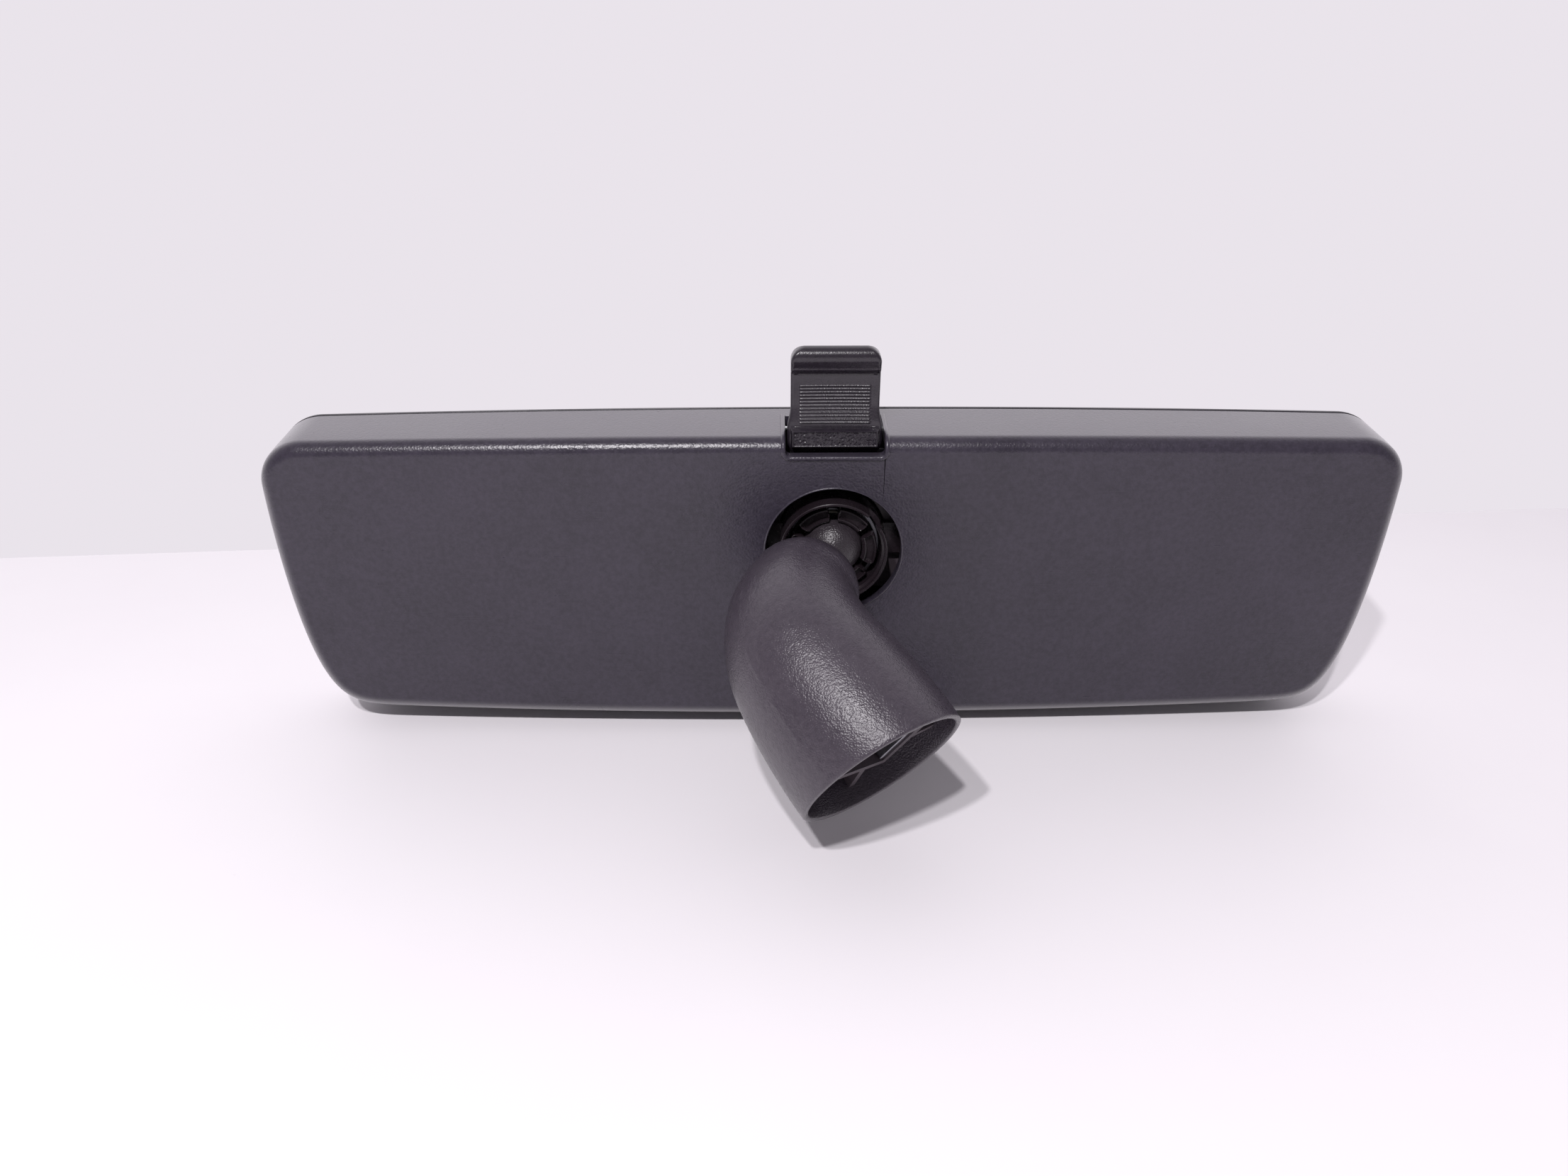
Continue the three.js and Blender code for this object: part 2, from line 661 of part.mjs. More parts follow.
const ARM_END = STUD_LENGTH - DOME_CUT;

function armShell() {
  const outside = loft([
    ...domeRings(DOME_RADIUS, DOME_CUT, 3),
    ...stations(0, 1, ARM_STEPS).map((u) => armRing(u, 0)),
  ]);
  const inside = loft([
    ...domeRings(DOME_RADIUS - ARM_WALL, DOME_CUT - ARM_WALL, 2),
    ...stations(0, 1, ARM_STEPS).map((u) => armRing(u, ARM_WALL)),
    armRing(1, ARM_WALL, 2),
  ]);
  const shell = cut(solid(outside), inside);
  const boss = join(shell, rodStud(SHANK_RADIUS + GAP + 2, ARM_END + 1, ARM_END + 8));
  return cut(boss, rodStud(SHANK_RADIUS + GAP, ARM_END - 1, ARM_END + 9, 32));
}

function ballStud() {
  const neckAngle = THREE.MathUtils.radToDeg(Math.asin(NECK_RADIUS / BALL_RADIUS));
  const ballSteps = 11;
  const profile = Array.from({ length: ballSteps + 1 }, (_, i) => {
    const angle = THREE.MathUtils.degToRad(180 - ((180 - neckAngle) * i) / ballSteps);
    return new THREE.Vector2(Math.max(0, BALL_RADIUS * Math.sin(angle)), BALL_RADIUS * Math.cos(angle));
  });
  profile[0].x = 0;
  const shoulder = ARM_END - GAP;
  const beyondNeck = [
    [NECK_RADIUS, shoulder - 4],
    [NECK_RADIUS + 0.5, shoulder - 2.4],
    [NECK_RADIUS + 2, shoulder - 1],
    [NECK_RADIUS + 2, shoulder],
    [SHANK_RADIUS, shoulder],
    [SHANK_RADIUS, ARM_END + 10],
    [SHANK_RADIUS - 0.6, ARM_END + 10.6],
    [0, ARM_END + 10.6],
  ];
  profile.push(...beyondNeck.map(([radius, along]) => new THREE.Vector2(radius, along)));
  const geometry = new THREE.LatheGeometry(profile, 28);
  const turn = new THREE.Quaternion().setFromUnitVectors(new THREE.Vector3(0, 1, 0), stud);
  return solid(geometry.applyQuaternion(turn).translate(BALL.x, BALL.y, BALL.z));
}

// Push-on spring washer that keeps the stud's shank in the boss.
function studRetainer() {
  const disc = solid(rodStud(SHANK_RADIUS + 2.6, ARM_END + 8.3, ARM_END + 9.1, 32));
  return cut(disc, rodStud(SHANK_RADIUS + GAP, ARM_END + 7, ARM_END + 10, 32));
}

const INSERT = [0.76, 0.82];
const RIB_END = 0.93;
const CLIP_WINDOW = [7.5, 5.5];
const CLIP_GAUGE = 0.8;

// A slab of the foot's hollow between two stations, clear of the wall.
function footSlab(from, to) {
  return loft(stations(from, to, 3).map((u) => armRing(u, ARM_WALL + GAP)));
}

// Moves a body into the foot's own frame: its mouth's major and minor directions and its axis.
function inFoot(geometry) {
  const { axis, major, centre } = armStation(1);
  const minor = new THREE.Vector3().crossVectors(axis, major);
  const frame = new THREE.Matrix4().makeBasis(major, minor, axis);
  return geometry.applyMatrix4(frame.setPosition(centre));
}

function footInsert() {
  const plate = solid(footSlab(...INSERT));
  const hollow = solid(footSlab(INSERT[0], RIB_END));
  const [halfMajor, halfMinor] = CLIP_WINDOW;
  const frame = box(around(0, halfMajor + 1.6), around(0, halfMinor + 1.6), [-12, 2]);
  const ribs = [0, QUARTER].map((turn) => box([-20, 20], [-0.7, 0.7], [-12, 2]).rotateZ(0.35 + turn));
  const trimmed = [frame, ...ribs].map((part) => hollow.intersect(solid(inFoot(part))));
  const whole = trimmed.reduce((sum, part) => sum.add(part), plate);
  return cut(whole, inFoot(box(around(0, halfMajor), around(0, halfMinor), [-20, 5])));
}

// A U of spring steel in the insert's window, open towards the mouth.
function windscreenClip() {
  const [halfMajor, halfMinor] = CLIP_WINDOW;
  const [major, minor] = [halfMajor - GAP, halfMinor - GAP];
  const outer = box(around(0, major), around(0, minor), [-10, -3.5]);
  const inner = box(around(0, major - CLIP_GAUGE), around(0, minor + 1), [CLIP_GAUGE - 10, 0]);
  const hole = new THREE.CylinderGeometry(1.3, 1.3, 6, 16).rotateX(QUARTER).translate(0, 0, -9.6);
  return cut(solid(inFoot(outer)), inFoot(inner), inFoot(hole));
}

// ---- assembly ----

const group = new THREE.Group();

function place(name, body, material) {
  const mesh = new THREE.Mesh(geometryOf(body), materials[material]);
  mesh.name = name;
  group.add(mesh);
}

place('rear_housing', rearHousing(), 'housing');
place('front_bezel', frontBezel(), 'housing');
place('mirror_glass', mirrorGlass(), 'glass');
place('mirror_backing', mirrorBacking(), 'silver');
POSTS.forEach(([x, z], i) => place(`foam_pad_${i + 1}`, foamPad(x, z), 'foam'));
for (const [name, side] of [['left', -1], ['right', 1]]) {
  place(`pivot_pin_${name}`, pivotPin(side), 'steel');
  place(`pin_cap_${name}`, pinCap(side), 'nylon');
  place(`stop_buffer_${name}`, stopBuffer(side), 'rubber');
  const bracketScrew = screw(side * BRACKET_SCREW_X, BALL.z, [5, PLATE[1] + GAP], 2.4, 1.4);
  place(`bracket_screw_${name}`, bracketScrew, 'steel');
}
place('lever_pin', leverPin(), 'steel');
place('detent_spring', detentSpring(), 'steel');
place('spring_screw', screw(SPRING_SCREW.x, LEVER_PIVOT.z, [4, 9.4], 2.2, 1.2), 'steel');
place('dimming_lever', dimmingLever(), 'lever');
place('swivel_bracket', swivelBracket(), 'nylon');
place('socket_cup', socketCup(), 'nylon');
place('clamp_ring', clampRing(), 'steel');
place('ball_seat', ballWasher(SEAT_RADII, 118, 148), 'acetal');
place('friction_washer', ballWasher(WASHER_RADII, 114, 145), 'steel');
place('ball_stud', ballStud(), 'diecast');
place('arm_shell', armShell(), 'arm');
place('stud_retainer', studRetainer(), 'steel');
place('foot_insert', footInsert(), 'nylon');
place('windscreen_clip', windscreenClip(), 'steel');

// The assembly stands on its lowest point, with the origin under the middle of its box.
const bounds = new THREE.Box3().setFromObject(group);
const middle = bounds.getCenter(new THREE.Vector3());
group.position.set(-middle.x, -middle.y, -bounds.min.z);

export default group;
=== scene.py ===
"""Looks of an interior day/night rearview mirror, standing on its long edge, back towards the camera.

Shapes are worked out in millimetres in the head's own frame, where y = 0 is at the ends of the back
face and z = 0 is under the bezel, and are then moved to the row frame, in metres.
"""

import json
import math

import bmesh
import bpy
import numpy as np
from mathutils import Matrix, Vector, noise


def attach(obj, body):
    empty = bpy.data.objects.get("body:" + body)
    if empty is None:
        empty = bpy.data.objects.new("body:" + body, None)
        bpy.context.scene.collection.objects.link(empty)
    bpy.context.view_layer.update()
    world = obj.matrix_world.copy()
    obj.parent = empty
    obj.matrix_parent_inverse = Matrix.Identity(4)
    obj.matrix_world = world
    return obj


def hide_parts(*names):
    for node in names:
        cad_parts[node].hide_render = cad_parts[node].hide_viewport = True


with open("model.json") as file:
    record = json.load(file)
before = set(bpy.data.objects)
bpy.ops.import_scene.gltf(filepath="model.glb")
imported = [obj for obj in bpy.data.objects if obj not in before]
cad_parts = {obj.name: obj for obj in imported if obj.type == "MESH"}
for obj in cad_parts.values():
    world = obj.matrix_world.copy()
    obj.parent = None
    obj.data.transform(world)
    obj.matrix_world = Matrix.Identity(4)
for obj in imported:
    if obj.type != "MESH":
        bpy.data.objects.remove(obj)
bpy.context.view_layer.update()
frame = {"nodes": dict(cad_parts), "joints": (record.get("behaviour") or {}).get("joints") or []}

MM = 0.001

# ---- driving dimensions, in millimetres, as the CAD has them ----

GAP = 0.3

HALF_WIDTH = 121.3
MID_HEIGHT = 36
TOP_HEIGHT = 71.5
TOP_ARCH = 1.15
BOTTOM_ARCH = 2.05
ARCH_SPAN = 102
TOP_CORNER = 10
BOTTOM_CORNER_START = 85
BOTTOM_CORNER_POWERS = (8.3, 1.78)
BACK_LIFT = 2.7
LIFT_DEPTH = 12
DRAFT = 0.5
CROWN = 2
WALL = 2
EDGE_RADIUS = 3.2
INNER_EDGE_RADIUS = 1.6
HOUSING_FRONT = 16
POCKET_Z = 46
POCKET_RADIUS = 14.6
SLOT_HALF = 10.3
SLOT_LOW = 68
SLOT_END = 11.5

GLASS_FRONT = 16.2
GLASS_INSET = 2.6
GLASS_THICK_BOTTOM = 4.8
GLASS_THICK_TOP = 3
BACKING = 0.4
BEZEL_FRONT = 17.8
BEZEL_WINDOW_INSET = 4.2

BALL = Vector((0, 2, POCKET_Z))
BALL_RADIUS = 6.5
LIP_RADIUS = 6.7
CUP_CAVITY_RADIUS = 8.05
CUP_RADIUS = 11.6
CUP_FRONT = -3
CUP_REAR = 9.9
CUP_RIM_INNER = 10.5
FINGERS = 6
FINGER_OUTER = 9
GROOVE_FLOOR = 3.5

ROCK_PIVOT = Vector((0, 7.5, 28))
PIVOT_PIN_RADIUS = 1.5
PLATE_FRONT = 6.8
LEVER_PIVOT = Vector((0, 5, 63))
LEVER_START = math.radians(15)
LEVER_PIN_RADIUS = 1.4
BARREL_RADIUS = 2.8
CRANK_RADIUS = 4.6
CRANK_END_RADIUS = 2
CRANK_PIN_RADIUS = 1.3
CHEEK = (9.2, 12)
FORK_OUTER = 16.6
POST = (17, 20)
TAB_HALF = 9.2
TAB_TOP = 90

STUD_YAW = -0.359
STUD_DROP = 0.12
BEND_ROLL = 0.98
STUD_LENGTH = 20
BEND_ANGLE = 1.09
BEND_SHARE = 0.5
BODY_LENGTH = 43.7
MOUTH_TILT = -0.09
DOME_RADIUS = 11.7
WAIST_RADII = (18.7, 17.85)
MOUTH_RADII = (16.7, 18.6)
DOME_CUT = 6
ARM_WALL = 2
RIM_WALL = 1.3
SHANK_RADIUS = 4.2
NECK_RADIUS = 3.6

X_AXIS, Y_AXIS, Z_AXIS = Vector((1, 0, 0)), Vector((0, 1, 0)), Vector((0, 0, 1))

# The ball's place in the row frame settles where the head's own frame is.
ball_joint = next(joint for joint in frame["joints"] if joint["name"] == "head_tilt")
SHIFT = Vector(ball_joint["pos_m"]) / MM - BALL


def to_row(point):
    """A point of the head's own frame, in the row frame and in metres."""
    return (Vector(point) + SHIFT) * MM


# ---- mesh making ----


def make(name, points, faces):
    """An object from points in the head's own frame, with its faces turned outward."""
    mesh = bpy.data.meshes.new(name)
    mesh.from_pydata([to_row(point) for point in points], [], faces)
    shape = bmesh.new()
    shape.from_mesh(mesh)
    bmesh.ops.recalc_face_normals(shape, faces=shape.faces)
    shape.to_mesh(mesh)
    shape.free()
    made = bpy.data.objects.new(name, mesh)
    bpy.context.scene.collection.objects.link(made)
    return made


def ring_sides(rings, closed=False):
    """The faces between rings of equal length, the last meeting the first if closed."""
    count = len(rings[0])
    faces = []
    for r in range(len(rings) if closed else len(rings) - 1):
        low, high = r * count, ((r + 1) % len(rings)) * count
        for i in range(count):
            j = (i + 1) % count
            faces.append((low + i, low + j, high + j, high + i))
    return faces


def flat(rings):
    """All points of some rings in one list."""
    return [point for ring in rings for point in ring]


def loft(name, rings):
    """A closed body through rings, with the first and last ring closed by one face each."""
    faces = ring_sides(rings)
    count, last = len(rings[0]), (len(rings) - 1) * len(rings[0])
    faces.append(tuple(range(count)))
    faces.append(tuple(last + i for i in range(count)))
    return make(name, flat(rings), faces)


def slab(name, rings):
    """A closed body through head outlines, with its ends closed by strips from top to bottom."""
    faces = ring_sides(rings)
    count = len(rings[0])
    half = count // 2
    for first in (0, (len(rings) - 1) * count):
        for i in range(half):
            corners = [i, i + 1, (count - i - 1) % count, (count - i) % count]
            kept = [first + c for k, c in enumerate(corners) if c not in corners[:k]]
            faces.append(tuple(kept))
    return make(name, flat(rings), faces)


def band(name, rings):
    """A closed body whose rings meet again, such as a frame or a tube."""
    return make(name, flat(rings), ring_sides(rings, closed=True))


def boolean(target, tools, operation="DIFFERENCE"):
    """Joins the tools to the target or cuts them from it, and removes them."""
    for tool in tools:
        step = target.modifiers.new("step", "BOOLEAN")
        step.operation = operation
        step.solver = "MANIFOLD"
        step.object = tool
        graph = bpy.context.evaluated_depsgraph_get()
        made = bpy.data.meshes.new_from_object(target.evaluated_get(graph))
        target.modifiers.clear()
        old, target.data = target.data, made
        bpy.data.meshes.remove(old)
        bpy.data.objects.remove(tool)
    return target


def smooth(piece, angle=32):
    """Smooth shading, except at edges sharper than an angle in degrees."""
    piece.data.shade_smooth()
    piece.data.set_sharp_from_angle(angle=math.radians(angle))


def finish_piece(piece, body, slot, material, *nodes, angle=32):
    """Gives a piece its shading, material and body, and hides the CAD nodes that it stands for. The
    slot is not used.
    """
    smooth(piece, angle)
    piece.data.materials.clear()
    piece.data.materials.append(material)
    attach(piece, body)
    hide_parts(*nodes)


def block(name, x, y, z):
    """A box between two values on each axis."""
    corners = [(i, j, k) for k in z for j in y for i in x]
    faces = [(0, 1, 3, 2), (4, 5, 7, 6), (0, 1, 5, 4), (2, 3, 7, 6), (0, 2, 6, 4), (1, 3, 7, 5)]
    return make(name, corners, faces)


def ellipse(centre, first, second, radii, sides):
    """Points on an ellipse whose half axes are two radii along two directions."""
    angles = [2 * math.pi * i / sides for i in range(sides)]
    return [
        centre + first * (radii[0] * math.cos(a)) + second * (radii[1] * math.sin(a))
        for a in angles
    ]


def circle(centre, first, second, radius, sides):
    return ellipse(centre, first, second, (radius, radius), sides)


def rod(name, centre, axis, span, radius, sides=48, chamfer=0.0):
    """A rod through a centre along a unit axis, between two distances from the centre."""
    first = axis.orthogonal().normalized()
    second = axis.cross(first)
    low, high = sorted(span)
    stations = [(low, radius), (high, radius)]
    if chamfer:
        stations = [(low, radius - chamfer), (low + chamfer, radius)]
        stations += [(high - chamfer, radius), (high, radius - chamfer)]
    rings = [circle(centre + axis * at, first, second, r, sides) for at, r in stations]
    return loft(name, rings)


def turned(profile, sides=144):
    """A closed profile of (radius, y) points turned round the pocket's axis."""
    return [
        circle(Vector((0, y, POCKET_Z)), X_AXIS, Z_AXIS, radius, sides) for radius, y in profile
    ]


def arc(centre, radius, start, end, steps):
    """Points (u, v) on an arc, with its angles in degrees."""
    angles = np.radians(np.linspace(start, end, steps + 1))
    return [(centre[0] + radius * math.cos(a), centre[1] + radius * math.sin(a)) for a in angles]


def blend(value, points):
    """A smooth curve through (position, height) points, level at both ends of each stretch."""
    if value <= points[0][0]:
        return points[0][1]
    for (a, low), (b, high) in zip(points, points[1:]):
        if value <= b:
            t = (value - a) / (b - a)
            return low + (high - low) * t * t * (3 - 2 * t)
    return points[-1][1]


# ---- head outline ----

OUTLINE_STATIONS = 181


def top_edge(x):
    """The height of the outline's top at x: an arch with rounded corners."""
    beyond = max(0.0, abs(x) - (HALF_WIDTH - TOP_CORNER))
    drop = TOP_CORNER - math.sqrt(max(0.0, TOP_CORNER**2 - beyond**2))
    return TOP_HEIGHT - TOP_ARCH * (x / ARCH_SPAN) ** 2 - drop


WIDEST = top_edge(HALF_WIDTH)


def bottom_edge(x):
    """The height of the outline's bottom at x: an arch with long swept corners."""
    share = max(0.0, abs(x) - BOTTOM_CORNER_START) / (HALF_WIDTH - BOTTOM_CORNER_START)
    across, down = BOTTOM_CORNER_POWERS
    arch = DRAFT + BOTTOM_ARCH * (x / ARCH_SPAN) ** 2
    return arch + (WIDEST - arch) * (1 - max(0.0, 1 - share**across) ** (1 / down))


def crown(x):
    """The y of the back face, which bulges towards the middle."""
    return -CROWN * (1 - (x / HALF_WIDTH) ** 2)


def base_outline():
    """Points (x, z) from the left end over the top to the right end and back along the bottom."""
    xs = HALF_WIDTH * np.sin(np.linspace(-math.pi / 2, math.pi / 2, OUTLINE_STATIONS))
    top = [(x, top_edge(x)) for x in xs[1:-1]]
    bottom = [(x, bottom_edge(x)) for x in xs[1:-1]]
    ends = [(-HALF_WIDTH, WIDEST)], [(HALF_WIDTH, WIDEST)]
    return np.array(ends[0] + top + ends[1] + bottom[::-1])


OUTLINE = base_outline()
along = np.roll(OUTLINE, -1, axis=0) - np.roll(OUTLINE, 1, axis=0)
along /= np.linalg.norm(along, axis=1)[:, None]
INWARD = np.stack([along[:, 1], -along[:, 0]], axis=1)


def lift(y, z):
    """How far the outline is lifted at a depth and height, as the bottom wall rises to the back."""
    return BACK_LIFT * max(0.0, 1 - y / LIFT_DEPTH) * (1 - z / TOP_HEIGHT)


def outline(inset, depth):
    """The head's outline moved in by an inset, at a depth that may vary with x and z."""
    points = [(x, depth(x, z), z) for x, z in OUTLINE + INWARD * inset]
    return [Vector((x, y, z + lift(y, z))) for x, y, z in points]


def level(y):
    """One depth for the whole outline."""
    return lambda x, z: y


def above_back(rise):
    """A depth measured from the crowned back face."""
    return lambda x, z: crown(x) + rise


def glass_back(z):
    """The y of the wedge glass's rear face at a height."""
    share = z / TOP_HEIGHT
    return GLASS_FRONT - GLASS_THICK_BOTTOM + (GLASS_THICK_BOTTOM - GLASS_THICK_TOP) * share


# ---- head ----

POST_PLACES = [(-75, 20), (75, 20), (-75, 54), (75, 54)]
FOAM_SIZE = (14, 10)
FOAM_THICKNESS = 1.6
BOSS_X = (29, 38)
BOSS_Z = (23.5, 32.5)
POST_DEPTH = 8
POST_Z = (59.2, 70)
SPRING_SCREW_X = 24
SCREW_BORE_RADIUS = 1.3
FLOOR_BITE = 1
RIM_CHAMFER = 0.25
LIFT_BLEND = 0.6


def wall_ring(y, inset):
    """An outline on the drafted wall at a depth."""
    return outline(inset - DRAFT * y / HOUSING_FRONT, level(y))


def rounded_back(inset, radius, offset, steps):
    """Rings of the rounded edge from the walls to the back face."""
    rings = []
    for i in range(steps + 1):
        angle = math.pi / 2 * i / steps
        rise = offset + radius * (1 - math.sin(angle))
        rings.append(outline(inset + radius * (1 - math.cos(angle)), above_back(rise)))
    return rings


def housing_outside():
    """The outside of the housing as a full body."""
    rings = [outline(-DRAFT + RIM_CHAMFER, level(HOUSING_FRONT))]
    depths = (
        HOUSING_FRONT - RIM_CHAMFER, LIFT_DEPTH + LIFT_BLEND, LIFT_DEPTH - LIFT_BLEND, LIFT_DEPTH / 2
    )
    rings += [wall_ring(y, 0) for y in depths]
    return slab("housing_shell", rings + rounded_back(0, EDGE_RADIUS, 0, 12))


def notch(name, half, low, radius, end):
    """A block with rounded lower corners that reaches from behind the back face up past the top."""
    top = TOP_HEIGHT + 6
    corners = arc((-half + radius, low + radius), radius, 180, 270, 6)
    corners += arc((half - radius, low + radius), radius, 270, 360, 6)
    corners += [(half, top), (-half, top)]
    return loft(name, [[Vector((x, y, z)) for x, z in corners] for y in (-8, end)])


def pocket_cutter():
    """The round pocket, with a rounded mouth."""
    mouth = 0.1
    face = crown(POCKET_RADIUS)
    profile = [
        (POCKET_RADIUS + mouth, -9),
        (POCKET_RADIUS + mouth, face),
        *arc((POCKET_RADIUS + mouth, face + mouth), mouth, 270, 180, 5)[1:],
        (POCKET_RADIUS, 4),
    ]
    return loft("pocket_cutter", turned(profile))


BEAD_RADIUS = 0.3
BEAD_OUT = 0.12
FRAME_RADIUS = 0.52
FRAME_X = SLOT_HALF + 0.45
FRAME_LOW = SLOT_LOW - 0.5
FRAME_CORNER = 1.5


def frame_side():
    """Points and outward directions down one side of the slot's frame, from the top to its foot."""
    face = crown(FRAME_X)
    centre_y, centre_z = face + EDGE_RADIUS, top_edge(FRAME_X) - EDGE_RADIUS
    side = []
    for y in np.linspace(SLOT_END + 0.4, centre_y + 0.2, 6):
        top = top_edge(FRAME_X) + DRAFT * y / HOUSING_FRONT
        side.append((Vector((FRAME_X, y, top)), Z_AXIS))
    for angle in np.linspace(0, math.pi / 2, 12):
        normal = Z_AXIS * math.cos(angle) - Y_AXIS * math.sin(angle)
        side.append((Vector((FRAME_X, centre_y, centre_z)) + normal * EDGE_RADIUS, normal))
    for x, z in arc((FRAME_X - FRAME_CORNER, FRAME_LOW + FRAME_CORNER), FRAME_CORNER, 0, -90, 8):
        side.append((Vector((x, face, z)), -Y_AXIS))
    return side


def slot_frame():
    """A round bead along the slot's two sides and its lower edge."""
    right = frame_side()
    left = [(Vector((-p.x, p.y, p.z)), normal) for p, normal in reversed(right)]
    path = right + left
    rings = []
    for k, (point, normal) in enumerate(path):
        before, after = path[max(k - 1, 0)][0], path[min(k + 1, len(path) - 1)][0]
        sideways = (after - before).cross(normal).normalized()
        rings.append(circle(point, normal, sideways, FRAME_RADIUS, 20))
    return loft("slot_frame", rings)


def pocket_bead():
    """A fine half-round bead round the mouth of the pocket."""
    centre = (POCKET_RADIUS + BEAD_OUT, crown(POCKET_RADIUS) + 0.02)
    section = arc(centre, BEAD_RADIUS, 0, 330, 11)
    return band("pocket_bead", turned(section, sides=192))


def rear_housing():
    """The black shell, with its posts, bosses, pocket, slot and bores."""
    shell = housing_outside()
    boolean(shell, [slot_frame(), pocket_bead()], "UNION")
    hollow_walls = [wall_ring(y, WALL) for y in (HOUSING_FRONT + 1, LIFT_DEPTH, LIFT_DEPTH / 2)]
    hollow = slab("hollow", hollow_walls + rounded_back(WALL, INNER_EDGE_RADIUS, WALL, 4))
    boolean(shell, [hollow])
    parts = []
    for x, z in POST_PLACES:
        w, h = FOAM_SIZE[0] / 2, FOAM_SIZE[1] / 2
        front = glass_back(z - h) - 2 * GAP - BACKING - FOAM_THICKNESS - GAP
        foot = crown(x) + FLOOR_BITE
        parts.append(block("post", (x - w, x + w), (foot, front), (z - h, z + h)))
    for side in (-1, 1):
        boss = sorted(side * x for x in BOSS_X)
        parts.append(block("boss", boss, (crown(33) + FLOOR_BITE, ROCK_PIVOT.y), BOSS_Z))
        post = sorted(side * x for x in POST)
        parts.append(block("lever_post", post, (crown(POST[0]) + FLOOR_BITE, POST_DEPTH), POST_Z))
    screw_line = Vector((SPRING_SCREW_X, 0, LEVER_PIVOT.z))
    screw_foot = crown(SPRING_SCREW_X) + FLOOR_BITE
    parts.append(rod("screw_boss", screw_line, Y_AXIS, (screw_foot, 8.3), 3))
    boolean(shell, parts, "UNION")
    lever_bore = POST[1] - 0.6
    boolean(shell, [
        pocket_cutter(),
        notch("slot", SLOT_HALF, SLOT_LOW, 0.9, SLOT_END),
        rod("pivot_bore", ROCK_PIVOT, X_AXIS, (-40, 40), PIVOT_PIN_RADIUS + GAP),
        rod("lever_bore", LEVER_PIVOT, X_AXIS, (-lever_bore, lever_bore), LEVER_PIN_RADIUS + GAP),
        rod("screw_bore", screw_line, Y_AXIS, (3, 10), SCREW_BORE_RADIUS),
    ])
    return shell


def front_bezel():
    """The frame round the glass, with a rounded outer and inner edge and a step for the glass."""
    edge, inner_edge = 0.8, 0.6
    outer = arc((-DRAFT + edge, BEZEL_FRONT - edge), edge, 180, 90, 6)
    inner = arc((BEZEL_WINDOW_INSET - inner_edge, BEZEL_FRONT - inner_edge), inner_edge, 90, 0, 5)
    section = [
        (-DRAFT + 0.2, HOUSING_FRONT + GAP),
        (-DRAFT, HOUSING_FRONT + GAP + 0.2),
        *outer,
        *inner,
        (BEZEL_WINDOW_INSET, GLASS_FRONT + GAP),
        (GLASS_INSET - GAP, GLASS_FRONT + GAP),
        (GLASS_INSET - GAP, HOUSING_FRONT + GAP),
    ]
    return band("bezel_frame", [outline(inset, level(y)) for inset, y in section])


def mirror_glass():
    """The wedge of glass, with ground edges."""
    ground = 0.3
    rings = [
        outline(GLASS_INSET + ground, level(GLASS_FRONT)),
        outline(GLASS_INSET, level(GLASS_FRONT - ground)),
        outline(GLASS_INSET, lambda x, z: glass_back(z) + ground),
        outline(GLASS_INSET + ground, lambda x, z: glass_back(z)),
    ]
    return slab("glass_plate", rings)


def mirror_backing():
    """The silvering, a thin sheet behind the glass."""
    inset = GLASS_INSET + 0.35
    rings = [
        outline(inset, lambda x, z: glass_back(z) - GAP),
        outline(inset, lambda x, z: glass_back(z) - GAP - BACKING),
    ]
    return slab("silvered_back", rings)


def paint_rear(piece, film):
    """Gives the faces that look towards the back a second material."""
    piece.data.materials.append(film)
    for face in piece.data.polygons:
        if face.normal.y < -0.5:
            face.material_index = 1


# ---- lever ----

RIB_COUNT = 12
RIB_PITCH = 0.71
RIB_LOW = 73.45
RIB_HIGH = RIB_LOW + RIB_COUNT * RIB_PITCH
RIB_HALF = 7.1
RIB_END = 0.4
RIB_HEIGHT = 0.2
PAD_HALF = 9.1
PAD_SPAN = (68.85, 72.75)
PAD_FACE = 0.3
PAD_BORDER = 0.6
PAD_SINK = 0.35
PAD_ROUGHNESS = 0.22
LIP_CENTRE = (2.45, 87.95)
LIP_HALF = 2.05
TAB_START = 60
TAB_CORNER = 3.1
TAB_EDGE = 0.7
# The tab's half width, front and back at heights.
TAB_HALVES = [(66.5, 9), (69.5, TAB_HALF + 0.75), (72, TAB_HALF + 0.7), (77, TAB_HALF)]
TAB_FRONT = [(66, 2.4), (68.5, 1.9), (73.1, 1.95), (78, 2.55), (84.2, 2.15), (85.4, 1.1), (87.6, 0.4)]
TAB_BACK = [(64, 7), (68.5, 4.8), (74, 4.4), (86, 4.5)]


def tab_half_width(z):
    """Half the tab's width at a height."""
    rounding_start = TAB_TOP - TAB_CORNER
    if z > rounding_start:
        return TAB_HALF - TAB_CORNER + math.sqrt(max(0, TAB_CORNER**2 - (z - rounding_start) ** 2))
    return blend(z, TAB_HALVES)


def tab_depths(z):
    """The tab's front and back y at a height, before its ribs."""
    if z > LIP_CENTRE[1]:
        half = math.sqrt(max(0.0, LIP_HALF**2 - (z - LIP_CENTRE[1]) ** 2))
        return LIP_CENTRE[0] - half, LIP_CENTRE[0] + half
    return blend(z, TAB_FRONT), blend(z, TAB_BACK)


def rib_height(x, z):
    """How far the grip ribs stand out of the tab's front."""
    place = (z - RIB_LOW) / RIB_PITCH
    if not 0 <= place <= RIB_COUNT or abs(x) > RIB_HALF + RIB_END:
        return 0.0
    edge = min(1.0, (RIB_HALF + RIB_END - abs(x)) / RIB_END)
    wave = 0.5 - 0.5 * math.cos(2 * math.pi * place)
    return RIB_HEIGHT * edge * wave**1.5


